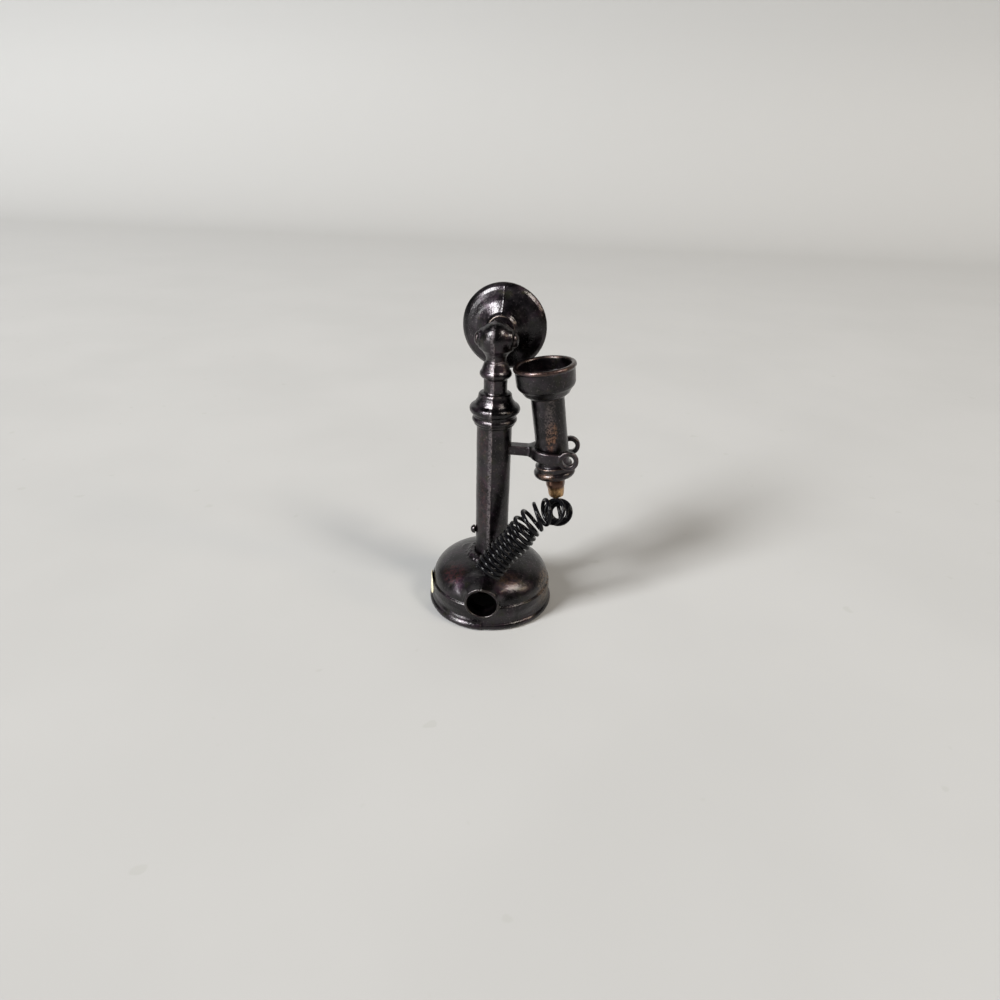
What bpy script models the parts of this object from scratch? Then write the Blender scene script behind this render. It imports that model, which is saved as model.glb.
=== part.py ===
"""Miniature candlestick telephone with a pencil sharpener in its base.

Die-cast pieces in an antique bronze finish, a coiled cord and a sharpener insert.
Units are metres, +Z is up.  The front (the mouthpiece) faces -Y, the pencil hole faces +Y
and the receiver hangs on the -X side.  Every height and radius below is measured from the
axis of the column, and the whole model is then set so that the origin lies under the
middle of its box.
"""

import math

import bmesh
import bpy
from mathutils import Matrix, Vector
from mathutils.geometry import interpolate_bezier

# ---------------------------------------------------------------- driving dimensions
ROUND = 40              # segments of the large turned pieces
MID_ROUND = 32          # segments of the column, the receiver and the insert
SMALL_ROUND = 24        # segments of pins, holes and small turned pieces

SEAT_GAP = 0.00015      # between pieces that rest on or in each other
RUN_GAP = 0.00008       # radial, between a pin and the hole that turns on it
FREE_GAP = 0.0003       # between pieces that slide or swing past each other

# base: a bell-shaped shell, open below
FOOT_R = 0.0165
FOOT_BEAD = 0.0021      # height of the bead round the foot
SKIRT_FLARE = 0.0007    # from the skirt's top out to the foot
SKIRT_TOP = 0.0068
DOME_STEP = 0.0004      # from the dome out to the skirt's top
DOME_FOOT = 0.0072      # height at which the dome springs from the skirt
DOME_RISE = 0.0071
DOME_POWER = 2.9        # fullness of the dome's shoulder
WALL = 0.0013
CROWN_WALL = 0.0010     # thickness at the middle of the dome
RING_R = 0.0064         # raised ring round the foot of the column
RING_H = 0.0010

# pencil hole and its hood
HOLE_R = 0.00385
HOLE_Z = 0.0080
HOOD_WALL = 0.0006
HOOD_FACE_IN = 0.0006   # the hood's face lies this far inside the foot
HOOD_DEPTH = 0.0049     # from the hood's face to its root in the dome
HOLE_PAST_HOOD = 0.0030 # how far the hole runs on behind the hood, into the hollow

# column, collar, neck and yoke: one casting
COLUMN_FOOT_R = 0.00420
COLUMN_TOP_R = 0.00433
COLLAR_FOOT_Z = 0.0508
COLLAR_LOW_R = 0.0055
COLLAR_R = 0.00615
COLLAR_H = 0.0050
SHOULDER_R = 0.0041
NECK_R = 0.00288
NECK_FOOT_Z = 0.0587
NECK_BEAD_R = 0.00385
NECK_BEAD_Z = 0.0634
NECK_BEAD_H = 0.0022
WAIST_R = 0.0023
WAIST_Z = 0.0669
PIVOT_Z = 0.0714
YOKE_R = 0.0041
EAR_R = 0.0024
EAR_REACH = 0.0041      # from the column axis to the seat of the pin's head

# post of the base inside the column, and the cross pin through both
POST_R = 0.0025
COLUMN_BORE_R = 0.00265
PIN_Z = 0.0213
PIN_R = 0.0008
PIN_HEAD_R = 0.00115
PIN_HEAD_H = 0.0011
PIN_YAW = math.radians(13.0)
POST_ABOVE_PIN = 0.0021

# transmitter: turns on a pin between the yoke's cheeks
HEAD_YAW = math.radians(4.0)
CASE_RISE = 0.0010      # the case's axis runs this far above the pivot
CASE_R = 0.01035
CASE_BACK = 0.0046      # pivot to the back of the hub
HUB_R = 0.0039
HUB_SKIRT_R = 0.0063
CASE_DEPTH = 0.0053     # back of the hub to the front edge of the rim
CASE_WALL = 0.0011
TONGUE_R = 0.0028
TONGUE_W = 0.0030
TONGUE_SIDE_GAP = 0.0002
STEM_H = 0.0019         # half the height of the stem between tongue and hub
PIVOT_R = 0.00075
PIVOT_HEAD_R = 0.0017
PIVOT_HEAD_H = 0.0010
PLATE_T = 0.0011
HORN_THROAT_R = 0.0024
HORN_LIP_R = 0.0056
HORN_LENGTH = 0.0082
HORN_WALL = 0.0008
HORN_LIP_ROUND = 0.0003

# hook: an arm that forks round the receiver and ends in two rings
HOOK_Z = 0.0445
ARM_W = 0.0030
ARM_H = 0.0024
ARM_TANG = 0.0022       # depth of the arm's tang in the column
PRONG_T = 0.0012
PRONG_H = 0.0027
RING_HOLE_R = 0.0013
EYE_R = 0.00245
EYE_REACH = 0.0041      # receiver axis to the centre of the rings

# receiver: leans towards the neck
RECEIVER_X = -0.0146
RECEIVER_LEAN = math.radians(8.5)
HANDLE_R = 0.0040
HANDLE_FOOT = -0.0030   # along the receiver's own axis, from the fork
TAIL_R = 0.00515
TAIL_STEP_R = 0.0046
TAIL_H = 0.0040
CAP_R = 0.00715
CAP_RIM_R = 0.0075
CAP_TOP = 0.0222
CAP_CONE_TOP = 0.0172
CAP_CONE_FOOT = 0.0143
CAP_WALL = 0.0009
CAP_BOWL = 0.0052
SPIGOT_R = 0.0024       # top of the handle, pressed into the cap
SPIGOT_H = 0.0018
FERRULE_R = 0.0023
FERRULE_H = 0.0036
FERRULE_STEM_R = 0.0012
FERRULE_STEM_H = 0.0025

# coiled cord and the bush that it leaves the base through
WIRE_R = 0.00050
COIL_R = 0.0032         # wire centre to coil axis
COIL_START_R = 0.0026
COIL_TURNS = 13.2
COIL_PHASE = math.radians(180.0)
POINTS_PER_TURN = 10
COIL_PATH = (           # middle of the coil; the first and last points only steer it
    (-0.0161, -0.0013, 0.0272),
    (-0.0180, 0.0022, 0.0292),
    (-0.0157, 0.0062, 0.0310),
    (-0.0118, 0.0086, 0.0298),
    (-0.0082, 0.0089, 0.0258),
    (-0.0048, 0.0096, 0.0207),
    (-0.0004, 0.0125, 0.0159),
    (0.0022, 0.0149, 0.0111),
)
BUSH_R = 0.0014
BUSH_FLANGE = 0.0004
BUSH_STEM_R = 0.0010
BUSH_STEM = 0.0014      # depth of its stem in the dome
BUSH_X = -0.0004
BUSH_IN = 0.0046        # from the dome's foot in to the bush

# sharpener insert
BARREL_R = 0.0044
BARREL_FRONT = 0.0070
BARREL_LENGTH = 0.0170
BARREL_TAIL_R = 0.0034  # the barrel tapers towards its closed end
BARREL_TIP_R = 0.0004   # the cone's small end
LUG_REACH = 0.0082
LUG_LENGTH = 0.0044
LUG_T = 0.0015
LUG_Z = 0.0090
LUG_Y = -0.0020
SCREW_X = 0.0063
SCREW_R = 0.0008
SCREW_HEAD_R = 0.0014
SCREW_HEAD_H = 0.0009
BOSS_R = 0.0019
BLADE_CUT = 0.0006      # how far the blade's flat bites into the cone
BLADE_L = 0.0150
BLADE_W = 0.0042
BLADE_T = 0.0005

# blank paper label on the skirt
LABEL_ANGLE = math.radians(14.0)
LABEL_SPAN = math.radians(22.0)
LABEL_T = 0.00015
LABEL_LOW = 0.0026
LABEL_HIGH = 0.0090     # stands off the dome above the skirt
LABEL_POWER = 3.0       # how square the oval is

# ---------------------------------------------------------------- worked-out places
SKIRT_R = FOOT_R - SKIRT_FLARE
DOME_R = SKIRT_R - DOME_STEP
HOOD_FACE = FOOT_R - HOOD_FACE_IN
HOOD_ROOT = HOOD_FACE - HOOD_DEPTH
BUSH_Y = DOME_R - BUSH_IN
BORE_ANGLE = math.atan2(HOLE_R - BARREL_TIP_R, BARREL_LENGTH)
EYE_X = RECEIVER_X - EYE_REACH
CASE_FRONT = CASE_BACK + CASE_DEPTH
HORN_FRONT = CASE_FRONT + HORN_LENGTH
RECEIVER_UP = Vector((math.sin(RECEIVER_LEAN), 0, math.cos(RECEIVER_LEAN)))
RECEIVER_FOOT = Vector((RECEIVER_X, 0, HOOK_Z))
FERRULE_FOOT = HANDLE_FOOT - TAIL_H - FERRULE_H

# the box that the rigid pieces fill, from which the column's place is worked out
BOX_LOW_X = EYE_X - EYE_R
BOX_LOW_Y = -(HORN_FRONT * math.cos(HEAD_YAW)
              + (HORN_LIP_R - HORN_LIP_ROUND) * math.sin(HEAD_YAW))
AXIS_X = -(BOX_LOW_X + FOOT_R) / 2
AXIS_Y = -(BOX_LOW_Y + FOOT_R) / 2

BRONZE = (0.055, 0.042, 0.038)
COPPER = (0.22, 0.10, 0.055)
BRASS = (0.55, 0.36, 0.14)
STEEL = (0.55, 0.55, 0.56)
ZINC = (0.32, 0.32, 0.33)
BLACK = (0.012, 0.012, 0.013)
PAPER = (0.80, 0.76, 0.58)


# ---------------------------------------------------------------- helpers
def clear_scene():
    for obj in list(bpy.data.objects):
        bpy.data.objects.remove(obj, do_unlink=True)


def make_collection(name):
    collection = bpy.data.collections.new(name)
    bpy.context.scene.collection.children.link(collection)
    return collection


def material(name, colour, metallic, roughness):
    mat = bpy.data.materials.new(name)
    mat.use_nodes = True
    shader = mat.node_tree.nodes["Principled BSDF"]
    shader.inputs["Base Color"].default_value = (*colour, 1.0)
    shader.inputs["Metallic"].default_value = metallic
    shader.inputs["Roughness"].default_value = roughness
    return mat


def bronze(name):
    return material(name, BRONZE, 0.9, 0.32)


def empty(name, parent, location=(0, 0, 0), rotation=(0, 0, 0)):
    obj = bpy.data.objects.new(name, None)
    obj.location = location
    obj.rotation_euler = rotation
    obj.parent = parent
    PARTS.objects.link(obj)
    return obj


def add_object(name, mesh, mat=None, parent=None, location=(0, 0, 0), rotation=(0, 0, 0)):
    """An object with a material is a piece; one without is a cutter or a lump to join."""
    obj = bpy.data.objects.new(name, mesh)
    obj.parent = parent
    obj.location = location
    obj.rotation_euler = rotation
    if mat:
        mesh.materials.append(mat)
        PARTS.objects.link(obj)
    else:
        CUTTERS.objects.link(obj)
        obj.hide_render = True
        obj.display_type = "WIRE"
    return obj


def lathe(name, profile, steps, mat=None, parent=None, location=(0, 0, 0), rotation=(0, 0, 0)):
    """Turn a profile of (radius, height) points, top to bottom on the outside, about Z."""
    mesh = bpy.data.meshes.new(name)
    verts = [(r, 0, z) for r, z in profile]
    edges = [(i, i + 1) for i in range(len(profile) - 1)]
    mesh.from_pydata(verts, edges, [])
    obj = add_object(name, mesh, mat, parent, location, rotation)
    screw = obj.modifiers.new("Turn", "SCREW")
    screw.axis = "Z"
    screw.angle = 2 * math.pi
    screw.steps = steps
    screw.render_steps = steps
    screw.use_merge_vertices = True
    screw.merge_threshold = 1e-6
    screw.use_smooth_shade = True
    return obj


def bmesh_object(name, build, mat=None, parent=None, location=(0, 0, 0), rotation=(0, 0, 0)):
    bm = bmesh.new()
    build(bm)
    mesh = bpy.data.meshes.new(name)
    bm.to_mesh(mesh)
    bm.free()
    return add_object(name, mesh, mat, parent, location, rotation)


def block(name, low, high, mat=None, parent=None, location=(0, 0, 0), rotation=(0, 0, 0)):
    centre = (Vector(low) + Vector(high)) / 2
    size = Vector(high) - Vector(low)
    place = Matrix.Translation(centre) @ Matrix.Diagonal((*size, 1))
    return bmesh_object(name, lambda bm: bmesh.ops.create_cube(bm, size=1, matrix=place),
                        mat, parent, location, rotation)


def cone(name, radius_low, radius_high, low, high, mat=None, parent=None,
         location=(0, 0, 0), rotation=(0, 0, 0), segments=SMALL_ROUND):
    """A cone or cylinder about the local Z, from low to high."""
    place = Matrix.Translation((0, 0, (low + high) / 2))
    return bmesh_object(name, lambda bm: bmesh.ops.create_cone(
        bm, cap_ends=True, segments=segments, radius1=radius_low, radius2=radius_high,
        depth=high - low, matrix=place), mat, parent, location, rotation)


def boolean(target, other, operation="DIFFERENCE"):
    mod = target.modifiers.new(operation.title() + " " + other.name, "BOOLEAN")
    mod.operation = operation
    mod.solver = "EXACT"
    mod.object = other


def arc(centre_r, centre_z, radius, start, end, count):
    """Points of a circular arc in a lathe profile; angles in degrees from the outside."""
    points = []
    for i in range(count + 1):
        angle = math.radians(start + (end - start) * i / count)
        points.append((centre_r + radius * math.cos(angle), centre_z + radius * math.sin(angle)))
    return points


def dome(radius, foot, rise, start, end, count):
    """Points of the dome's curve; start and end are angles up from its foot, in degrees."""
    points = []
    for i in range(count + 1):
        angle = math.radians(start + (end - start) * i / count)
        r = radius * max(math.cos(angle), 0.0) ** (2 / DOME_POWER)
        points.append((r, foot + rise * math.sin(angle)))
    return points


def pin_profile(radius, reach, head_r, head_h):
    """A pin with a domed head at each end; reach is half the length between the heads."""
    top = [(0, reach + head_h), (head_r * 0.55, reach + head_h * 0.88),
           (head_r * 0.9, reach + head_h * 0.45), (head_r, reach), (radius, reach)]
    return top + [(r, -z) for r, z in reversed(top)]


def flat_outline(name, points, thickness):
    """A flat outline with straight sides, made solid, as a mesh to join or cut with."""
    curve = bpy.data.curves.new(name, "CURVE")
    curve.dimensions = "2D"
    curve.fill_mode = "BOTH"
    curve.extrude = thickness / 2
    spline = curve.splines.new("POLY")
    spline.points.add(len(points) - 1)
    for point, (x, y) in zip(spline.points, points):
        point.co = (x, y, 0, 1)
    spline.use_cyclic_u = True
    flat = bpy.data.objects.new(name, curve)
    bpy.context.scene.collection.objects.link(flat)
    bpy.context.view_layer.update()
    graph = bpy.context.evaluated_depsgraph_get()
    mesh = bpy.data.meshes.new_from_object(flat.evaluated_get(graph))
    bpy.data.objects.remove(flat, do_unlink=True)
    bm = bmesh.new()
    bm.from_mesh(mesh)
    bmesh.ops.remove_doubles(bm, verts=bm.verts, dist=1e-6)
    bmesh.ops.recalc_face_normals(bm, faces=bm.faces)
    bm.to_mesh(mesh)
    bm.free()
    return mesh


ALONG_X = (0, math.pi / 2, 0)       # local Z to +X
ALONG_Y = (-math.pi / 2, 0, 0)      # local Z to +Y
TO_FRONT = (math.pi / 2, 0, 0)      # local Z to -Y
HOOD_TURN = (-math.pi / 2, 0.5 * math.pi / MID_ROUND, 0)    # to +Y, a quarter of a segment round
SIDE_ON = (math.pi / 2, 0, math.pi / 2)     # an outline's x to +Y and its y to +Z


# ---------------------------------------------------------------- base
def dome_height(radius):
    """Height of the dome's outer surface at a distance from the axis."""
    return DOME_FOOT + DOME_RISE * math.sqrt(max(0.0, 1 - (radius / DOME_R) ** DOME_POWER))


def dome_angle(radius):
    """Angle up the dome's curve, in degrees, at a distance from the axis."""
    return math.degrees(math.acos((radius / DOME_R) ** (DOME_POWER / 2)))


def crown_inside():
    return DOME_FOOT + DOME_RISE - CROWN_WALL


def add_base(root):
    ring_foot = dome_height(RING_R)
    ring_top = ring_foot + RING_H
    socket_r = COLUMN_FOOT_R + SEAT_GAP
    floor = DOME_FOOT + DOME_RISE
    post_top = PIN_Z + POST_ABOVE_PIN
    chamfer = 0.0004
    outside = [(0, post_top), (POST_R - chamfer, post_top), (POST_R, post_top - chamfer),
               (POST_R, floor), (socket_r, floor), (socket_r, ring_top - chamfer / 2),
               (socket_r + chamfer, ring_top), (RING_R - 2 * chamfer, ring_top),
               (RING_R - chamfer / 2, ring_top - chamfer), (RING_R, ring_foot)]
    outside += dome(DOME_R, DOME_FOOT, DOME_RISE, dome_angle(RING_R) - 6, 0, 10)
    outside += [(DOME_R - 0.00015, SKIRT_TOP + 0.00015), (SKIRT_R - 0.0002, SKIRT_TOP),
                (SKIRT_R, SKIRT_TOP - 0.0002), (FOOT_R - 0.0006, FOOT_BEAD + 0.0005),
                (FOOT_R - 0.0006, FOOT_BEAD)]
    outside += arc(FOOT_R - FOOT_BEAD / 2, FOOT_BEAD / 2, FOOT_BEAD / 2, 60, -60, 6)
    outside.append((FOOT_R - FOOT_BEAD / 2, 0))
    inside = [(DOME_R - WALL, 0), (DOME_R - WALL, DOME_FOOT)]
    inside += dome(DOME_R - WALL, DOME_FOOT, crown_inside() - DOME_FOOT, 12, 84, 6)
    inside.append((0, crown_inside()))
    base = lathe("base_shell", outside + inside, ROUND, bronze("base bronze"), root)

    hood = lathe("hood_form", [(0, HOOD_FACE), (HOLE_R + HOOD_WALL - 0.0003, HOOD_FACE),
                               (HOLE_R + HOOD_WALL, HOOD_FACE - 0.0003),
                               (HOLE_R + HOOD_WALL, HOOD_ROOT), (0, HOOD_ROOT)],
                 MID_ROUND, None, root, (0, 0, HOLE_Z), HOOD_TURN)
    boolean(base, hood, "UNION")
    hole = cone("pencil_hole_cutter", HOLE_R, HOLE_R, HOOD_ROOT - HOLE_PAST_HOOD, FOOT_R,
                None, root, (0, 0, HOLE_Z), HOOD_TURN, MID_ROUND)
    for side in (-1, 1):
        boss_top = dome_height(SCREW_X + BOSS_R) - CROWN_WALL / 2
        boss = cone("boss_form", BOSS_R, BOSS_R, LUG_Z + LUG_T + SEAT_GAP, boss_top,
                    None, root, (side * SCREW_X, LUG_Y, 0))
        boolean(base, boss, "UNION")
        drill = cone("boss_drill", SCREW_R + RUN_GAP, SCREW_R + RUN_GAP,
                     LUG_Z, crown_inside() - 0.0003, None, root, (side * SCREW_X, LUG_Y, 0))
        boolean(base, drill)
    boolean(base, hole)
    cross = cone("post_drill", PIN_R + SEAT_GAP, PIN_R + SEAT_GAP, -2 * POST_R, 2 * POST_R,
                 None, root, (0, 0, PIN_Z), (0, math.pi / 2, PIN_YAW))
    boolean(base, cross)
    bush_drill = cone("bush_drill", BUSH_STEM_R + SEAT_GAP, BUSH_STEM_R + SEAT_GAP,
                      -2 * BUSH_STEM, 2 * BUSH_STEM, None, root, bush_seat(), bush_turn())
    boolean(base, bush_drill)
    return base


def bush_seat():
    """The point of the dome that the cord's bush sits on."""
    return Vector((BUSH_X, BUSH_Y, dome_height(math.hypot(BUSH_X, BUSH_Y))))


def bush_turn():
    """Rotation that lays the bush square to the dome."""
    step = 1e-5
    radius = math.hypot(BUSH_X, BUSH_Y)
    slope = (dome_height(radius + step) - dome_height(radius - step)) / (2 * step)
    outward = Vector((BUSH_X, BUSH_Y, 0)).normalized()
    normal = Vector((0, 0, 1)) - outward * slope
    return normal.to_track_quat("Z", "Y").to_euler()


def add_label(root):
    """A plain oval slip of paper that follows the skirt's slope and stands off the dome."""
    mesh = bpy.data.meshes.new("blank_label")
    rows = 8
    columns = 6
    flare = (FOOT_R - 0.0006 - SKIRT_R) / (SKIRT_TOP - FOOT_BEAD)
    verts = []
    for j in range(rows + 1):
        up = j / rows
        height = LABEL_LOW + (LABEL_HIGH - LABEL_LOW) * up
        radius = SKIRT_R + flare * max(0.0, SKIRT_TOP - height) + SEAT_GAP
        width = max(0.35, (1 - abs(2 * up - 1) ** LABEL_POWER) ** (1 / LABEL_POWER))
        for i in range(columns + 1):
            angle = LABEL_ANGLE + LABEL_SPAN * width * (i / columns - 0.5)
            verts.append((radius * math.cos(angle), radius * math.sin(angle), height))
    faces = []
    for j in range(rows):
        for i in range(columns):
            first = j * (columns + 1) + i
            faces.append((first, first + 1, first + columns + 2, first + columns + 1))
    mesh.from_pydata(verts, [], faces)
    label = add_object("blank_label", mesh, material("label paper", PAPER, 0.0, 0.8), root)
    solid = label.modifiers.new("Thickness", "SOLIDIFY")
    solid.thickness = LABEL_T
    solid.offset = 1
    return label


# ---------------------------------------------------------------- column
def column_profile():
    top = arc(0, PIVOT_Z, YOKE_R, 90, -20, 8)
    flare = [(YOKE_R - 0.0010, PIVOT_Z - 0.0028), (WAIST_R + 0.0001, WAIST_Z + 0.0003),
             (WAIST_R, WAIST_Z - 0.0003), (WAIST_R + 0.0005, WAIST_Z - 0.0009)]
    bead = arc(NECK_BEAD_R - NECK_BEAD_H / 2, NECK_BEAD_Z, NECK_BEAD_H / 2, 48, -62, 4)
    neck = [(NECK_R, NECK_BEAD_Z - NECK_BEAD_H / 2), (NECK_R, NECK_FOOT_Z)]
    collar_mid = COLLAR_FOOT_Z + COLLAR_H * 0.78
    shoulder = [(SHOULDER_R - 0.0005, NECK_FOOT_Z), (SHOULDER_R - 0.0001, NECK_FOOT_Z - 0.0005),
                (SHOULDER_R + 0.0001, NECK_FOOT_Z - 0.0014),
                (COLLAR_R - 0.0010, collar_mid + 0.0013)]
    collar = arc(COLLAR_R - 0.0012, collar_mid, 0.0012, 55, -60, 4)
    low = arc(COLLAR_LOW_R - 0.0008, COLLAR_FOOT_Z + 0.0013, 0.0008, 60, -60, 3)
    shaft = [(COLUMN_TOP_R + 0.0006, COLLAR_FOOT_Z), (COLUMN_TOP_R, COLLAR_FOOT_Z - 0.0004)]
    foot = DOME_FOOT + DOME_RISE + SEAT_GAP
    bore_top = PIN_Z + POST_ABOVE_PIN + FREE_GAP
    shaft += [(COLUMN_FOOT_R, foot + 0.0002), (COLUMN_FOOT_R - 0.0002, foot),
              (COLUMN_BORE_R, foot), (COLUMN_BORE_R, bore_top), (0, bore_top)]
    return top + flare + bead + neck + shoulder + collar + low + shaft


def add_column(root, head):
    column = lathe("column", column_profile(), MID_ROUND, bronze("column bronze"), root)
    ear = [(0, EAR_REACH), (EAR_R - 0.0005, EAR_REACH), (EAR_R, EAR_REACH - 0.0006)]
    ears = lathe("ear_form", ear + [(r, -z) for r, z in reversed(ear)], SMALL_ROUND, None, head,
                 (0, 0, 0), ALONG_X)
    boolean(column, ears, "UNION")
    slot_r = TONGUE_R + FREE_GAP
    far = 2 * YOKE_R
    outline = [(-far, -slot_r)] + arc(0, 0, slot_r, -90, 114, 17)
    outline += [(outline[-1][0], far), (-far, far)]
    slot = add_object("yoke_slot_cutter",
                      flat_outline("yoke_slot", outline, TONGUE_W + 2 * TONGUE_SIDE_GAP),
                      None, head, (0, 0, 0), SIDE_ON)
    boolean(column, slot)
    pivot = cone("pivot_drill", PIVOT_R + RUN_GAP, PIVOT_R + RUN_GAP, -2 * EAR_REACH,
                 2 * EAR_REACH, None, head, (0, 0, 0), ALONG_X)
    boolean(column, pivot)
    half_w = ARM_W / 2 + SEAT_GAP
    half_h = ARM_H / 2 + SEAT_GAP
    pocket_end = -(COLUMN_TOP_R - ARM_TANG) + SEAT_GAP
    pocket = block("arm_pocket_cutter", (-2 * COLUMN_TOP_R, -half_w, HOOK_Z - half_h),
                   (pocket_end, half_w, HOOK_Z + half_h), None, root)
    boolean(column, pocket)
    cross = cone("column_drill", PIN_R + SEAT_GAP, PIN_R + SEAT_GAP, -2 * COLUMN_FOOT_R,
                 2 * COLUMN_FOOT_R, None, root, (0, 0, PIN_Z), (0, math.pi / 2, PIN_YAW))
    boolean(column, cross)
    return column


def add_column_pin(root):
    reach = COLUMN_FOOT_R + 0.0001 + SEAT_GAP
    return lathe("column_pin", pin_profile(PIN_R, reach, PIN_HEAD_R, PIN_HEAD_H), SMALL_ROUND,
                 bronze("pin bronze"), root, (0, 0, PIN_Z), (0, math.pi / 2, PIN_YAW))


# ---------------------------------------------------------------- transmitter
def add_transmitter(head):
    """The head empty stands at the pivot, turned so that its -Y is the way the horn faces."""
    lathe("tilt_pin", pin_profile(PIVOT_R, EAR_REACH + SEAT_GAP, PIVOT_HEAD_R, PIVOT_HEAD_H),
          SMALL_ROUND, bronze("tilt pin bronze"), head, (0, 0, 0), ALONG_X)

    back = CASE_BACK
    front = CASE_FRONT
    plate_r = CASE_R - CASE_WALL
    recess = front - PLATE_T - 0.0002
    rim = 0.0009
    profile = [(0, recess), (plate_r, recess), (plate_r, front)]
    profile += arc(CASE_R - rim, front - rim, rim, 75, -75, 6)
    profile += [(CASE_R - 0.0012, back + 0.0035), (HUB_SKIRT_R + 0.0012, back + 0.0029),
                (HUB_SKIRT_R, back + 0.0025), (HUB_R + 0.0011, back + 0.0015),
                (HUB_R + 0.0002, back + 0.0006), (HUB_R, back + 0.0002),
                (HUB_R - 0.0003, back), (0, back)]
    case = lathe("transmitter_case", profile, ROUND, bronze("case bronze"), head,
                 (0, 0, CASE_RISE), TO_FRONT)
    hub = -CASE_BACK - 0.0005
    open_half = 180 - math.degrees(math.asin(STEM_H / TONGUE_R))
    outline = [(hub, -STEM_H)] + arc(0, 0, TONGUE_R, -open_half, open_half, 22)
    outline.append((hub, STEM_H))
    tongue = add_object("tongue_form", flat_outline("tongue", outline, TONGUE_W),
                        None, head, (0, 0, 0), SIDE_ON)
    boolean(case, tongue, "UNION")
    pivot = cone("tongue_drill", PIVOT_R + RUN_GAP, PIVOT_R + RUN_GAP, -TONGUE_W, TONGUE_W,
                 None, head, (0, 0, 0), ALONG_X)
    boolean(case, pivot)

    seat = recess + SEAT_GAP
    lip = HORN_FRONT
    throat_floor = front - 0.0002
    bell = []
    for i in range(8):
        part = i / 7
        radius = HORN_THROAT_R + (HORN_LIP_R - HORN_THROAT_R) * part ** 2.2
        bell.append((radius, lip - HORN_LIP_ROUND - HORN_LENGTH * 0.9 * (1 - part)))
    inside = [(0, throat_floor), (HORN_THROAT_R - HORN_WALL, throat_floor)]
    inside += [(r - HORN_WALL, z) for r, z in bell[:-1]]
    edge = [(HORN_LIP_R - HORN_WALL, lip - HORN_LIP_ROUND), (HORN_LIP_R - HORN_LIP_ROUND, lip)]
    plate = [(plate_r * 0.62, front + 0.0005), (plate_r - FREE_GAP, front - 0.0001),
             (plate_r - FREE_GAP, seat), (0, seat)]
    return lathe("mouthpiece", inside + edge + bell[::-1] + plate, ROUND,
                 bronze("mouthpiece bronze"), head, (0, 0, CASE_RISE), TO_FRONT)


# ---------------------------------------------------------------- hook
def fork_outline():
    """The fork's U, seen from above: round the receiver, then straight to the rings."""
    inner = HANDLE_R + FREE_GAP + 0.0001
    outer = inner + PRONG_T
    points = []
    turns = 14
    for i in range(turns + 1):
        angle = math.pi / 2 - math.pi * i / turns
        points.append((RECEIVER_X + outer * math.cos(angle), outer * math.sin(angle)))
    points += [(EYE_X, -outer), (EYE_X, -inner)]
    for i in range(turns + 1):
        angle = -math.pi / 2 + math.pi * i / turns
        points.append((RECEIVER_X + inner * math.cos(angle), inner * math.sin(angle)))
    points += [(EYE_X, inner), (EYE_X, outer)]
    return points


def add_hook(root):
    mesh = flat_outline("receiver_hook", fork_outline(), PRONG_H)
    hook = add_object("receiver_hook", mesh, bronze("hook bronze"), root, (0, 0, HOOK_Z))
    inner = HANDLE_R + FREE_GAP + 0.0001
    arm_end = RECEIVER_X + inner + PRONG_T / 2
    arm_start = -(COLUMN_TOP_R - ARM_TANG)
    arm = block("arm_form", (arm_end, -ARM_W / 2, HOOK_Z - ARM_H / 2),
                (arm_start, ARM_W / 2, HOOK_Z + ARM_H / 2), None, root)
    boolean(hook, arm, "UNION")
    for side in (-1, 1):
        low, high = sorted((side * inner, side * (inner + PRONG_T)))
        eye = cone("eye_form", EYE_R, EYE_R, low - 0.00002, high + 0.00002, None, root,
                   (EYE_X, 0, HOOK_Z), ALONG_Y)
        boolean(hook, eye, "UNION")
    hole = cone("eye_drill", RING_HOLE_R, RING_HOLE_R, -2 * inner, 2 * inner, None, root,
                (EYE_X, 0, HOOK_Z), ALONG_Y)
    boolean(hook, hole)
    return hook


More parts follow.
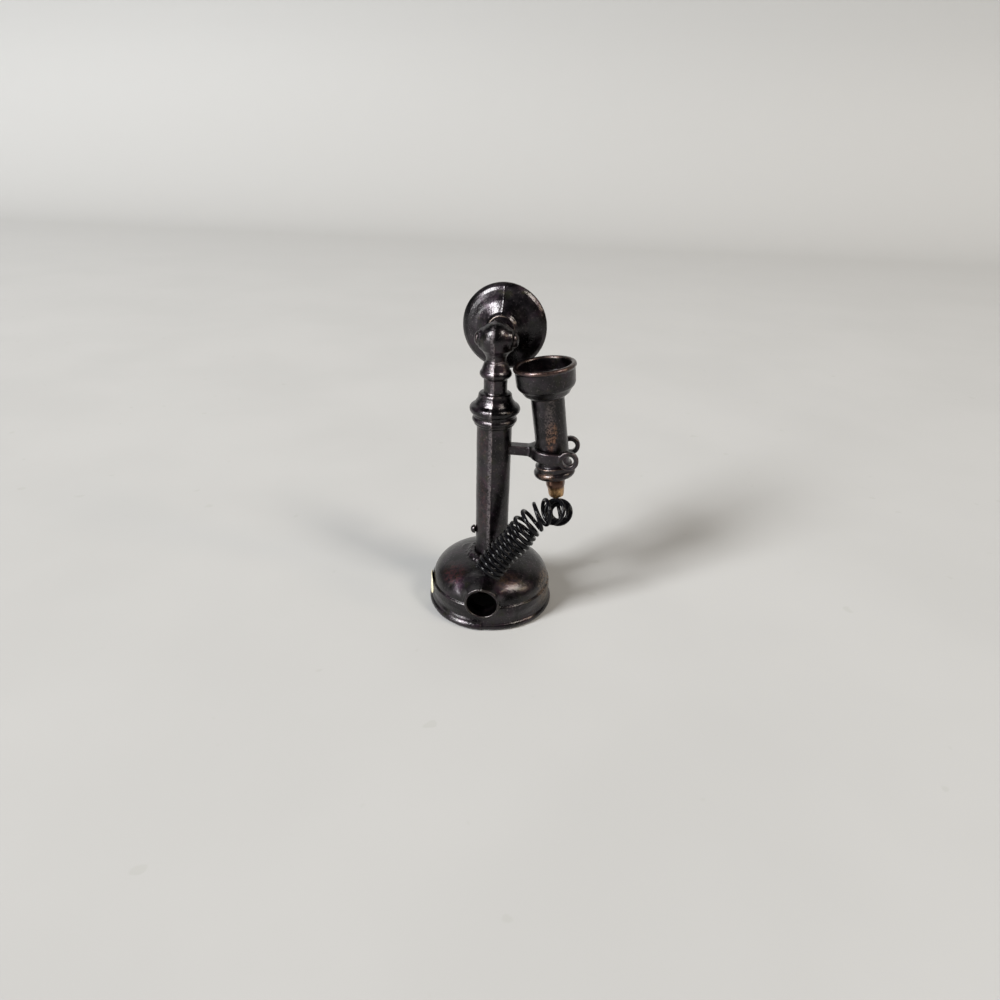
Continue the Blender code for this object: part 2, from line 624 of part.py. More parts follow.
# ---------------------------------------------------------------- receiver
def add_receiver(receiver):
    """The receiver empty stands at the fork, with its Z along the leaning receiver."""
    seat = CAP_CONE_FOOT + 0.0012
    spigot_top = seat + SPIGOT_H
    tail = HANDLE_FOOT
    tail_foot = HANDLE_FOOT - TAIL_H
    bore_top = tail_foot + FERRULE_STEM_H + SEAT_GAP
    stem_hole = FERRULE_STEM_R + SEAT_GAP
    profile = [(0, spigot_top), (SPIGOT_R - 0.0002, spigot_top), (SPIGOT_R, spigot_top - 0.0002),
               (SPIGOT_R, seat - SEAT_GAP), (HANDLE_R, seat - SEAT_GAP),
               (HANDLE_R, tail + 0.0004), (TAIL_STEP_R - 0.0002, tail),
               (TAIL_STEP_R, tail - 0.0003), (TAIL_STEP_R, tail - 0.0008),
               (TAIL_STEP_R - 0.0002, tail - 0.0011)]
    profile += arc(TAIL_R - 0.0010, tail - 0.0022, 0.0010, 60, -70, 6)
    profile += [(TAIL_R - 0.0020, tail_foot + 0.0002), (TAIL_R - 0.0026, tail_foot),
                (stem_hole, tail_foot), (stem_hole, bore_top), (0, bore_top)]
    lathe("receiver_handle", profile, MID_ROUND, bronze("handle bronze"), receiver)

    rim = (CAP_RIM_R - CAP_R + CAP_WALL) / 2
    bowl_r = CAP_R - CAP_WALL
    bowl_floor = CAP_TOP - CAP_BOWL
    pit_r = SPIGOT_R + SEAT_GAP
    cap = [(0, bowl_floor - 0.0004), (bowl_r - 0.0016, bowl_floor), (bowl_r, bowl_floor + 0.0012),
           (bowl_r, CAP_TOP - rim)]
    cap += arc(CAP_RIM_R - rim, CAP_TOP - rim, rim, 150, -60, 7)
    cap += [(CAP_R, CAP_TOP - 2 * rim - 0.0002), (CAP_R - 0.0001, CAP_CONE_TOP + 0.0002),
            (CAP_R - 0.0004, CAP_CONE_TOP - 0.0004), (HANDLE_R + 0.0016, CAP_CONE_FOOT + 0.0007),
            (HANDLE_R + 0.0005, CAP_CONE_FOOT), (HANDLE_R + SEAT_GAP, CAP_CONE_FOOT),
            (HANDLE_R + SEAT_GAP, seat), (pit_r, seat), (pit_r, spigot_top + SEAT_GAP),
            (0, spigot_top + SEAT_GAP)]
    lathe("receiver_cap", cap, ROUND, material("cap bronze", COPPER, 0.9, 0.3), receiver)

    top = tail_foot - SEAT_GAP
    foot = FERRULE_FOOT
    ferrule = [(0, tail_foot + FERRULE_STEM_H), (FERRULE_STEM_R, tail_foot + FERRULE_STEM_H),
               (FERRULE_STEM_R, top), (FERRULE_R, top), (FERRULE_R, top - FERRULE_H * 0.3),
               (FERRULE_R * 0.96, top - FERRULE_H * 0.6), (FERRULE_R * 0.88, foot + 0.0004),
               (FERRULE_R * 0.65, foot), (0, foot)]
    lathe("cord_ferrule", ferrule, SMALL_ROUND, material("ferrule brass", BRASS, 0.9, 0.35),
          receiver)


# ---------------------------------------------------------------- cord
def coil_axis():
    """Points along the middle of the coil: a smooth curve through COIL_PATH."""
    steer = [Vector(point) for point in COIL_PATH]
    knots = steer[1:-1]
    slopes = [(b - a) / 6 for a, b in zip(steer, steer[2:])]
    axis = []
    for i in range(len(knots) - 1):
        piece = interpolate_bezier(knots[i], knots[i] + slopes[i], knots[i + 1] - slopes[i + 1],
                                   knots[i + 1], 41)
        axis += piece if not axis else piece[1:]
    return axis


def coil_bends(axis):
    """How sharply the coil's axis bends near each of its points, in 1/m."""
    reach = 12
    bends = []
    for i in range(len(axis)):
        first = max(0, i - reach)
        last = min(len(axis) - 2, i + reach)
        turn = (axis[first + 1] - axis[first]).angle(axis[last + 1] - axis[last])
        bends.append(turn / (axis[last] - axis[first]).length)
    return bends


def coil_points():
    """The wire's centre line: a helix round the coil's axis, opened where the axis bends."""
    axis = coil_axis()
    lengths = [(b - a).length for a, b in zip(axis, axis[1:])]
    shares = [length * (1 - COIL_R * bend) for length, bend in zip(lengths, coil_bends(axis))]
    print("cord's least pitch, mm:", round(sum(shares) / COIL_TURNS * 1000, 3))
    radians = 2 * math.pi * COIL_TURNS / sum(shares)
    step = 2 * math.pi / POINTS_PER_TURN
    side = Vector((0, 0, 1))
    turned = 0.0
    points = []
    for a, b, share in zip(axis, axis[1:], shares):
        direction = (b - a).normalized()
        side = (side - direction * side.dot(direction)).normalized()
        across = direction.cross(side)
        turn = radians * share
        while len(points) * step <= turned + turn:
            angle = len(points) * step
            phase = COIL_PHASE + angle
            grow = min(1.0, angle / (8 * math.pi))
            radius = COIL_START_R + (COIL_R - COIL_START_R) * grow
            centre = a.lerp(b, (angle - turned) / turn)
            points.append(centre + side * radius * math.cos(phase)
                          - across * radius * math.sin(phase))
        turned += turn
    return points


def cord_points():
    """From the ferrule's foot into the coil, and from the coil down to the bush."""
    nub = RECEIVER_FOOT + RECEIVER_UP * (FERRULE_FOOT - FREE_GAP)
    leave = nub - RECEIVER_UP * 2 * WIRE_R
    coil = coil_points()
    seat = bush_seat()
    normal = Vector((0, 0, 1))
    normal.rotate(bush_turn())
    arrive = seat + normal * (BUSH_FLANGE + FREE_GAP + 2 * WIRE_R)
    touch = seat + normal * (BUSH_FLANGE + FREE_GAP)
    first = coil[0] + (coil[0] - coil[1]) * 1.0
    last = coil[-1] + (coil[-1] - coil[-2]) * 1.0
    top = interpolate_bezier(leave, leave - RECEIVER_UP * 0.0030, first, coil[0], 7)
    foot = interpolate_bezier(coil[-1], last, arrive + normal * 0.0012, arrive, 7)
    return [nub] + top[:-1] + coil + foot[1:] + [touch]


def report_coil_gap(points):
    """Print the least gap between stretches of the wire that aren't neighbours."""
    least = 1.0
    skip = POINTS_PER_TURN // 2
    for i, point in enumerate(points):
        for j in range(i + skip, len(points) - 1):
            a = points[j]
            b = points[j + 1]
            step = b - a
            t = max(0.0, min(1.0, (point - a).dot(step) / step.length_squared))
            least = min(least, (point - a - step * t).length - 2 * WIRE_R)
    print("cord's least gap to itself, mm:", round(least * 1000, 3))


def add_cord(root):
    points = cord_points()
    report_coil_gap(points)
    curve = bpy.data.curves.new("coiled_cord", "CURVE")
    curve.dimensions = "3D"
    curve.bevel_depth = WIRE_R
    curve.bevel_resolution = 1
    curve.render_resolution_u = 0
    curve.use_fill_caps = True
    spline = curve.splines.new("POLY")
    spline.points.add(len(points) - 1)
    for point, co in zip(spline.points, points):
        point.co = (*co, 1)
    curve.materials.append(material("cord black", BLACK, 0.0, 0.25))
    cord = bpy.data.objects.new("coiled_cord", curve)
    cord.parent = root
    PARTS.objects.link(cord)

    lathe("cord_bush", [(0, BUSH_FLANGE), (BUSH_R - 0.0002, BUSH_FLANGE),
                        (BUSH_R, SEAT_GAP + 0.0001), (BUSH_R, SEAT_GAP), (BUSH_STEM_R, SEAT_GAP),
                        (BUSH_STEM_R, -BUSH_STEM), (0, -BUSH_STEM)], SMALL_ROUND,
          material("bush brass", BRASS, 0.9, 0.4), root, bush_seat(), bush_turn())


# ---------------------------------------------------------------- sharpener
def add_sharpener(root):
    """The insert's barrel runs along Y; its blade lies on a flat along one side of the cone."""
    barrel = lathe("sharpener_body", [(0, BARREL_FRONT), (BARREL_R - 0.0002, BARREL_FRONT),
                                      (BARREL_R, BARREL_FRONT - 0.0002),
                                      (BARREL_R, BARREL_FRONT - BARREL_LENGTH * 0.3),
                                      (BARREL_TAIL_R, BARREL_FRONT - BARREL_LENGTH),
                                      (0, BARREL_FRONT - BARREL_LENGTH)], MID_ROUND,
                   material("insert zinc", ZINC, 0.9, 0.45), root, (0, 0, HOLE_Z), ALONG_Y)
    lugs = block("lug_form", (-LUG_REACH, LUG_Y - LUG_LENGTH / 2, LUG_Z),
                 (LUG_REACH, LUG_Y + LUG_LENGTH / 2, LUG_Z + LUG_T), None, root)
    boolean(barrel, lugs, "UNION")
    past = 0.0005
    slope = (HOLE_R - BARREL_TIP_R) / BARREL_LENGTH
    bore = cone("bore_cutter", BARREL_TIP_R - slope * past, HOLE_R + slope * past,
                BARREL_FRONT - BARREL_LENGTH - past, BARREL_FRONT + past, None, root,
                (0, 0, HOLE_Z), ALONG_Y)
    boolean(barrel, bore)

    flat = empty("blade_flat", root,
                 (0, BARREL_FRONT, HOLE_Z - HOLE_R + BLADE_CUT), (-BORE_ANGLE, 0, 0))
    under = block("flat_cutter", (-0.02, -0.03, -0.02), (0.02, 0.01, 0), None, flat)
    boolean(barrel, under)
    for side in (-1, 1):
        hole = cone("lug_drill", SCREW_R + FREE_GAP, SCREW_R + FREE_GAP, LUG_Z - 0.001,
                    LUG_Z + LUG_T + 0.001, None, root, (side * SCREW_X, LUG_Y, 0))
        boolean(barrel, hole)
    screw_x = BLADE_W * 0.62
    screw_y = -BLADE_L * 0.80
    thread = cone("blade_thread_cutter", SCREW_R + RUN_GAP, SCREW_R + RUN_GAP, -0.001, 0.0022,
                  None, flat, (screw_x, screw_y, 0))
    boolean(barrel, thread)

    blade = block("sharpener_blade", (-0.0002, -BLADE_L - 0.0008, -SEAT_GAP - BLADE_T),
                  (BLADE_W, -0.0008, -SEAT_GAP), material("blade steel", STEEL, 1.0, 0.22), flat)
    slot = cone("blade_hole_cutter", SCREW_R + FREE_GAP, SCREW_R + FREE_GAP, -0.002, 0.001,
                None, flat, (screw_x, screw_y, 0))
    boolean(blade, slot)
    seat = -2 * SEAT_GAP - BLADE_T
    lathe("blade_screw", screw_profile(seat, 0.0019), SMALL_ROUND,
          material("screw steel", STEEL, 1.0, 0.3), flat, (screw_x, screw_y, 0))

    for name, side in (("sharpener_screw_left", 1), ("sharpener_screw_right", -1)):
        lathe(name, screw_profile(LUG_Z - SEAT_GAP, crown_inside() - 0.0005), SMALL_ROUND,
              material(name + " steel", STEEL, 1.0, 0.3), root, (side * SCREW_X, LUG_Y, 0))


def screw_profile(seat, tip):
    """A round-headed screw that points up; its head's face rests below seat."""
    head = seat - SCREW_HEAD_H
    return [(0, tip), (SCREW_R * 0.6, tip), (SCREW_R, tip - 0.0004), (SCREW_R, seat),
            (SCREW_HEAD_R, seat), (SCREW_HEAD_R, seat - SCREW_HEAD_H * 0.4),
            (SCREW_HEAD_R * 0.7, head + 0.0001), (0, head)]


# ---------------------------------------------------------------- assembly
def main():
    root = empty("base_axis", None, (AXIS_X, AXIS_Y, 0))
    head = empty("tilt_axis", root, (0, 0, PIVOT_Z), (0, 0, -HEAD_YAW))
    receiver = empty("receiver_axis", root, RECEIVER_FOOT, (0, RECEIVER_LEAN, 0))
    add_base(root)
    add_label(root)
    add_sharpener(root)
    add_column(root, head)
    add_column_pin(root)
    add_transmitter(head)
    add_hook(root)
    add_receiver(receiver)
    add_cord(root)
    bpy.context.view_layer.update()


clear_scene()
PARTS = make_collection("candlestick_telephone")
CUTTERS = make_collection("cutters")
main()
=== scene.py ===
"""Looks for the miniature candlestick telephone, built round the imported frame."""
import math

import bpy
import numpy as np
from mathutils import Matrix, Vector
from mathutils.geometry import interpolate_bezier


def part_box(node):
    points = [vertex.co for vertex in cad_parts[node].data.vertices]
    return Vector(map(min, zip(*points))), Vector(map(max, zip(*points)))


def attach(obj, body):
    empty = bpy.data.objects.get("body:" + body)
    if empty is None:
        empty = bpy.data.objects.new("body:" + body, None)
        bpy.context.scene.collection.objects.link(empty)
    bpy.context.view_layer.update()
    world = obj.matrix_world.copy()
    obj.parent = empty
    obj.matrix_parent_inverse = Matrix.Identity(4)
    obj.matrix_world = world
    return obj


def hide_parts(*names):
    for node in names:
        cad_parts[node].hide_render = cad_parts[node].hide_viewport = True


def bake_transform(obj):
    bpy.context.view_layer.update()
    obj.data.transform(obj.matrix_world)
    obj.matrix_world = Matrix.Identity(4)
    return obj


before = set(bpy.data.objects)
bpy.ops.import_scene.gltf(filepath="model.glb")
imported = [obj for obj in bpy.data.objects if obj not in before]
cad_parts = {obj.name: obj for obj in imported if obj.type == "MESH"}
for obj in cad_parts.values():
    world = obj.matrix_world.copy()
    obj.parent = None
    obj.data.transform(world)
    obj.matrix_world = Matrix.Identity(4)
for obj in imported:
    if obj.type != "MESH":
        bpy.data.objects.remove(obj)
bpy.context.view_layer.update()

BASE_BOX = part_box("base_shell")
AXIS_X = (BASE_BOX[0][0] + BASE_BOX[1][0]) / 2
AXIS_Y = (BASE_BOX[0][1] + BASE_BOX[1][1]) / 2

# ---- sizes in metres, as in the part's source
FOOT_R = 0.0165
FOOT_BEAD = 0.0021      # its height
SKIRT_R = 0.0158
SKIRT_TOP = 0.0068
DOME_R = 0.0154
DOME_FOOT = 0.0072
DOME_RISE = 0.0071
DOME_POWER = 2.9        # 2 is an ellipse, more is squarer
WALL = 0.0013
CROWN_WALL = 0.0010
RING_R = 0.0064         # raised ring round the foot of the column
RING_H = 0.0010
POST_R = 0.0024         # post of the base inside the column
POST_RISE = 0.0060
BOSS = (0.0063, -0.0020)        # its place; the other is mirrored
BOSS_R = 0.0019
BOSS_FOOT = 0.01065     # where the insert's lugs are screwed on
BOSS_BORE_R = 0.00088
HOLE_R = 0.00385        # the pencil's hole
HOLE_Z = 0.0080
HOOD_WALL = 0.0006
HOOD_FACE = 0.0159
HOOD_ROOT = 0.0110
COLUMN_FOOT_R = 0.00420
COLUMN_TOP_R = 0.00433
COLUMN_BORE_R = 0.00265
PIN_R = 0.0008
PIN_REACH = 0.00445     # middle to head
PIN_HEAD_R = 0.00115
PIN_Z = 0.0213
PIN_YAW = math.radians(13.0)
PIVOT_Z = 0.0714        # the tilt pin, in the middle of the yoke's ball
PIVOT_R = 0.00075
PIVOT_REACH = 0.00425
PIVOT_HEAD_R = 0.0017
PIVOT_BORE_R = 0.00083  # in the yoke's ears and in the tongue
YOKE_R = 0.0041
EAR_R = 0.0024
SLOT_R = 0.0031         # the yoke's slot, round the pivot
SLOT_HALF = 0.0017
HEAD_YAW = math.radians(4.0)
TONGUE_R = 0.0028
TONGUE_HALF = 0.0015    # half its thickness
STEM_HALF = 0.0019      # half the height of the tongue's stem
CASE_RISE = 0.0010      # over the pivot
CASE_R = 0.01035
CASE_BACK = 0.0046
CASE_FRONT = 0.0099
CASE_ROUND = 0.0009
HUB_FLARE = 0.0071
HORN_FRONT = 0.0181
HORN_LENGTH = 0.0082
HORN_THROAT_R = 0.0024
HORN_LIP_R = 0.0056
HORN_WALL = 0.0008
HOOK_Z = 0.0445
PRONG_HALF = 0.0006     # half the fork's thickness
PRONG_HALF_H = 0.00135  # half its height
EYE_R = 0.00245         # outside of the ring at each prong's end
EYE_HOLE_R = 0.0013
EYE_REACH = 0.0041
RECEIVER_X = -0.0146
RECEIVER_LEAN = math.radians(8.5)
HANDLE_R = 0.0040
CAP_SEAT = 0.0155       # along the receiver from the hook, as CAP_TOP and NUB_TOP
CAP_TOP = 0.0222
CAP_R = 0.00715
CAP_RIM_R = 0.0075
CAP_RIM_ROUND = 0.00062
CAP_BOWL_R = 0.00625
NUB_TOP = -0.00715
NUB_FOOT = -0.0120
NUB_STEM_R = 0.0012
WIRE_R = 0.00050

# shapes that only the scene has
HOOD_FILLET = 0.0034    # where the hood flows into the dome
BEAD_STEP = 0.00032     # between the foot bead's two sides at the die's parting
SEAM_HALF = 0.00020     # parting line of the column
SEAM_RISE = 0.00013
CRUMBS_R = 0.0056       # rough metal round the foot of the column

BASE = Matrix.Translation((AXIS_X, AXIS_Y, 0))
HEAD = BASE @ Matrix.Translation((0, 0, PIVOT_Z)) @ Matrix.Rotation(-HEAD_YAW, 4, "Z")
CASE = HEAD @ Matrix.Translation((0, 0, CASE_RISE)) @ Matrix.Rotation(math.pi / 2, 4, "X")
RECEIVER = (BASE @ Matrix.Translation((RECEIVER_X, 0, HOOK_Z))
            @ Matrix.Rotation(RECEIVER_LEAN, 4, "Y"))
ALONG_X = Matrix.Rotation(math.pi / 2, 4, "Y")


def added(name, data):
    """A new object in the scene."""
    obj = bpy.data.objects.new(name, data)
    bpy.context.scene.collection.objects.link(obj)
    return obj


# ---- camera, which stands as the photograph shows
CAMERA_TURN = math.radians(7.0)
CAMERA_PITCH = math.radians(27.2)
CAMERA_ROLL = math.radians(1.8)
CAMERA_SIDE = 0.00192
CAMERA_BACK = 0.1592
CAMERA_HEIGHT = 0.11155
CAMERA_LENS = 24.948    # millimetres, on a sensor 36 wide


def add_camera():
    """The photograph's view; gives back the ways to its right and away from it, both level."""
    turn, pitch, roll = CAMERA_TURN, CAMERA_PITCH, CAMERA_ROLL
    right = Vector((-math.cos(turn), -math.sin(turn), 0))
    away = Vector((math.sin(turn), -math.cos(turn), 0))
    up = Vector((0, 0, 1))
    place = (right * CAMERA_SIDE - away * CAMERA_BACK + up * CAMERA_HEIGHT
             + Vector((AXIS_X, AXIS_Y, 0)))
    forward = away * math.cos(pitch) - up * math.sin(pitch)
    top = right.cross(forward)
    side = right * math.cos(roll) + top * math.sin(roll)
    top = top * math.cos(roll) - right * math.sin(roll)
    data = bpy.data.cameras.new("camera")
    data.sensor_width = 36
    data.lens = CAMERA_LENS
    data.clip_start = 0.01
    data.clip_end = 20
    camera = added("camera", data)
    camera.matrix_world = Matrix.Translation(place) @ Matrix(
        (side, top, -forward)).transposed().to_4x4()
    bpy.context.scene.camera = camera
    return right, away


RIGHT, AWAY = add_camera()


# ---- materials
class Nodes:
    """A small helper to wire one material, whose textures lie in the row frame."""

    def __init__(self, name, metallic, roughness, colour=(0.05, 0.05, 0.05)):
        self.mat = bpy.data.materials.new(name)
        self.mat.use_nodes = True
        self.tree = self.mat.node_tree
        self.shader = self.tree.nodes["Principled BSDF"]
        self.set("Metallic", metallic)
        self.set("Roughness", roughness)
        self.set("Base Color", colour)
        self.place = self.new("ShaderNodeTexCoord").outputs["Object"]

    def set(self, name, value):
        """Set or link an input of the shader."""
        self.join(value, self.shader.inputs[name])

    def new(self, kind, values=None):
        """A node of one kind, with the inputs that values names set or linked."""
        node = self.tree.nodes.new(kind)
        for name, value in (values or {}).items():
            self.join(value, node.inputs[name])
        return node

    def join(self, value, socket):
        """Link or set a socket: value is another socket, a colour, a vector or a number."""
        if isinstance(value, bpy.types.NodeSocket):
            self.tree.links.new(value, socket)
        else:
            socket.default_value = (*value, 1) if socket.type == "RGBA" else value

    def math(self, operation, a, b):
        node = self.new("ShaderNodeMath", {0: a, 1: b})
        node.operation = operation
        return node.outputs[0]

    def times(self, a, b):
        return self.math("MULTIPLY", a, b)

    def vector(self, operation, value, other=(0, 0, 0)):
        node = self.new("ShaderNodeVectorMath", {0: value, 1: other})
        node.operation = operation
        return node.outputs["Value" if operation == "LENGTH" else "Vector"]

    def noise(self, scale, detail=3.0, roughness=0.55, distortion=0.0, stretch=(1, 1, 1), seed=0.0):
        """Noise from 0 to 1 whose features are about 1 / scale metres."""
        place = self.new("ShaderNodeMapping", {
            "Vector": self.place, "Location": (seed, seed * 1.7, -seed), "Scale": stretch})
        return self.new("ShaderNodeTexNoise", {
            "Vector": place.outputs[0], "Scale": scale, "Detail": detail,
            "Roughness": roughness, "Distortion": distortion}).outputs["Fac"]

    def ramp(self, value, low, high, to_low=0.0, to_high=1.0):
        """value from low to high becomes to_low to to_high, softly and clamped."""
        node = self.new("ShaderNodeMapRange", {"Value": value, "From Min": low, "From Max": high,
                                               "To Min": to_low, "To Max": to_high})
        node.interpolation_type = "SMOOTHSTEP"
        return node.outputs["Result"]

    def mix(self, amount, a, b):
        """Colour a where amount is 0 and b where it is 1."""
        node = self.new("ShaderNodeMix")
        node.data_type = "RGBA"
        self.join(amount, node.inputs["Factor"])
        self.join(a, node.inputs[6])
        self.join(b, node.inputs[7])
        return node.outputs[2]

    def patch(self, centre, size):
        """1 near a point of the base's frame and 0 at a distance of size from it, softly."""
        away = self.vector("SUBTRACT", self.place, tuple(BASE @ Vector(centre)))
        return self.ramp(self.vector("LENGTH", self.vector("DIVIDE", away, size)),
                         0.4, 1.0, 1.0, 0.0)

    def along(self, axis, low, high):
        """0 at low and 1 at high along one axis of the base's frame, softly."""
        parts = self.new("ShaderNodeSeparateXYZ", {0: self.place})
        shift = (AXIS_X, AXIS_Y, 0)[axis]
        return self.ramp(parts.outputs[axis], low + shift, high + shift)

    def bump(self, *heights):
        """Each height is (value, distance in metres, strength)."""
        under = {}
        for value, distance, strength in heights:
            node = self.new("ShaderNodeBump", {
                "Height": value, "Distance": distance, "Strength": strength, **under})
            under = {"Normal": node.outputs[0]}
        self.set("Normal", under["Normal"])
        self.set("Coat Normal", under["Normal"])

    def finish(self, colour, roughness=None):
        self.set("Base Color", colour)
        if roughness is not None:
            self.set("Roughness", roughness)
        return self.mat


BLACK_BRONZE = (0.0052, 0.0042, 0.0052)
GREY_BRONZE = (0.0265, 0.0220, 0.0258)
PURPLE_BRONZE = (0.030, 0.017, 0.027)
OLIVE_BRONZE = (0.022, 0.022, 0.016)
# pale specks: partly the metal's grain, partly painted glints
PALE_GRAIN_AND_GLINT = (0.110, 0.095, 0.100)
BROWN_BRONZE = (0.075, 0.045, 0.032)
RED_BRONZE = (0.070, 0.022, 0.024)
TAN_WEAR = (0.21, 0.145, 0.095)
EDGE_WEAR = (0.24, 0.165, 0.125)
COPPER_WEAR = (0.40, 0.20, 0.12)
# a painted highlight: the sheen down the handle's front
PAINTED_SHEEN = (0.17, 0.14, 0.135)
# pale paint along the parting line: wear on its ridge and a painted highlight
SEAM_WEAR_AND_SHINE = (0.20, 0.175, 0.185)


def bronze(name, patches=(), wear_and_shine=0.6, seed=0.0, rough=(0.31, 0.46), wear_and_shine_to=EDGE_WEAR,
           seam_wear_and_shine=0.0, edge_at=(0.10, 0.26)):
    """Lacquered antique bronze: black and grey clouds, brown mottling, pale specks that are partly
    grain and partly painted glints, and rubbed edges that on some pieces also paint highlights.

    patches is a list of (centre, size, colour, strength) in the base's frame; seam_wear_and_shine
    is how pale the metal is along the parting line, wear on its ridge and a painted highlight;
    edge_at is where on the mesh's edge attribute the rubbed edge colour starts and where it is
    full, and on some pieces that colour also paints highlights; rough is the range of the metal's
    roughness."""
    n = Nodes(name, 1.0, 0.4)
    clouds = n.noise(190, 4, 0.6, 0.4, seed=seed + 1)
    mottle = n.noise(900, 4, 0.65, seed=seed + 2)
    grain = n.noise(3600, 3, 0.6, seed=seed + 3)
    pits = n.noise(2100, 2, 0.5, seed=seed + 4)
    tints = n.noise(330, 3, 0.6, 0.3, seed=seed + 6)
    grey = n.mix(n.ramp(tints, 0.50, 0.66), GREY_BRONZE, PURPLE_BRONZE)
    grey = n.mix(n.ramp(tints, 0.46, 0.34), grey, OLIVE_BRONZE)
    colour = n.mix(n.ramp(clouds, 0.36, 0.62), BLACK_BRONZE, grey)
    specks = n.times(n.ramp(mottle, 0.56, 0.72), n.ramp(clouds, 0.42, 0.60))
    colour = n.mix(n.times(specks, 0.4), colour, BROWN_BRONZE)
    # pale specks, partly grain and partly painted glints of the grainy surface
    colour = n.mix(n.times(n.ramp(pits, 0.60, 0.74), 0.55), colour, PALE_GRAIN_AND_GLINT)
    for centre, size, tint, strength in patches:
        area = n.times(n.patch(centre, size), n.ramp(mottle, 0.34, 0.58))
        area = n.times(area, n.ramp(pits, 0.34, 0.54))
        colour = n.mix(n.times(area, strength), colour, tint)
    # pale band along the parting line: wear on its ridge and a painted highlight of its glint
    if seam_wear_and_shine:
        band = n.times(n.along(0, -0.0003, 0.0002), n.along(0, 0.0011, 0.0004))
        band = n.times(band, n.ramp(pits, 0.34, 0.56))
        colour = n.mix(n.times(band, seam_wear_and_shine), colour, SEAM_WEAR_AND_SHINE)
    edge = n.new("ShaderNodeAttribute")
    edge.attribute_name = "edge"
    # rubbed edges, lighter where the mesh bulges out: wear, and on the case and the hook also
    # painted highlights
    wear_and_shine_mask = n.times(n.ramp(edge.outputs["Fac"], *edge_at), n.ramp(mottle, 0.32, 0.56))
    colour = n.mix(n.times(wear_and_shine_mask, wear_and_shine), colour, wear_and_shine_to)
    roughness = n.ramp(n.math("ADD", n.times(clouds, 0.5), n.times(mottle, 0.5)), 0.36, 0.64,
                       *rough)
    n.set("Coat Weight", 0.55)
    n.set("Coat IOR", 1.5)
    n.set("Coat Roughness", n.ramp(mottle, 0.3, 0.7, 0.12, 0.22))
    n.bump((grain, 0.00003, 0.60), (pits, 0.00006, 0.65), (mottle, 0.00006, 0.40))
    return n.finish(colour, roughness)


# ---- mesh helpers
def mesh_object(name, verts, faces, mat, body, replaced, edge=None):
    """A mesh in the row frame; edge is how far each point lies on an outer edge."""
    mesh = bpy.data.meshes.new(name)
    mesh.from_pydata([tuple(v) for v in verts], [], [tuple(f) for f in faces])
    mesh.materials.append(mat)
    if edge is not None:
        mesh.attributes.new("edge", "FLOAT", "POINT").data.foreach_set(
            "value", np.asarray(edge, np.float32))
    mesh.shade_smooth()
    obj = added(name, mesh)
    if body:
        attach(obj, body)
    if replaced:
        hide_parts(replaced)
    return obj


def rounded(section, radius, steps=4):
    """The section with each corner of more than 4 degrees rounded."""
    points = [Vector(p) for p in section]
    out = [points[0]]
    for i in range(1, len(points) - 1):
        before, here, after = points[i - 1], points[i], points[i + 1]
        back, on = before - here, after - here
        turn = math.pi - back.angle(on) if back.length and on.length else 0
        if turn < math.radians(4):
            out.append(here)
            continue
        cut = min(radius * math.tan(turn / 2), back.length * 0.48, on.length * 0.48)
        start, end = here + back.normalized() * cut, here + on.normalized() * cut
        count = max(2, round(steps * turn / 1.2))
        for k in range(count + 1):
            t = k / count
            out.append(start * (1 - t) ** 2 + here * 2 * t * (1 - t) + end * t * t)
    out.append(points[-1])
    return [tuple(p) for p in out]


def sweep(start, end, count):
    """Angles from start to end, which are in degrees, in count even steps."""
    return [math.radians(start + (end - start) * i / count) for i in range(count + 1)]


def arc(centre_r, centre_z, radius, start, end, count):
    """Points of an arc in a section, from start to end in degrees."""
    return [(centre_r + radius * math.cos(a), centre_z + radius * math.sin(a))
            for a in sweep(start, end, count)]


def finer(section, longest):
    """The section with its long segments divided."""
    out = [section[0]]
    for a, b in zip(section, section[1:]):
        parts = max(1, math.ceil(math.dist(a, b) / longest))
        for k in range(1, parts + 1):
            out.append((a[0] + (b[0] - a[0]) * k / parts, a[1] + (b[1] - a[1]) * k / parts))
    return out


EDGE_REACH = 0.00035    # how far round a point its edge is felt


def ring_quads(count, steps):
    """Quads between a number of rings of steps points each, seen from the rings' outside."""
    quads = []
    for i in range(count - 1):
        for k in range(steps):
            m = (k + 1) % steps
            quads.append((i * steps + k, (i + 1) * steps + k, (i + 1) * steps + m, i * steps + m))
    return quads


def turned(name, section, matrix, mat, body, replaced, steps=96, change=None):
    """A turned piece from a section of (radius, height) that starts and ends on the axis.

    change(points) may move the points, in the piece's own frame, before it is placed."""
    inner = section[1:-1]
    rows = np.array(inner)
    angles = np.linspace(0, 2 * math.pi, steps, endpoint=False)
    ring = np.stack([np.outer(rows[:, 0], np.cos(angles)), np.outer(rows[:, 0], np.sin(angles)),
                     np.repeat(rows[:, 1:], steps, 1)], -1).reshape(-1, 3)
    points = np.vstack([ring, [(0, 0, section[0][1]), (0, 0, section[-1][1])]])
    if change:
        points = change(points)
    count = len(inner)
    faces = ring_quads(count, steps)
    top, foot = count * steps, count * steps + 1
    for k in range(steps):
        m = (k + 1) % steps
        faces.append((top, k, m))
        faces.append((foot, (count - 1) * steps + m, (count - 1) * steps + k))
    distance = flat_distance(section, closed=False)
    across = [distance(rows[:, 0] + EDGE_REACH * math.cos(a), rows[:, 1] + EDGE_REACH * math.sin(a))
              for a in np.arange(8) * math.pi / 4]
    edge = np.append(np.repeat(np.mean(across, 0) / EDGE_REACH, steps), (0, 0))
    placed = points @ np.array(matrix.to_3x3()).T + np.array(matrix.translation)
    return mesh_object(name, placed, faces, mat, body, replaced, edge)


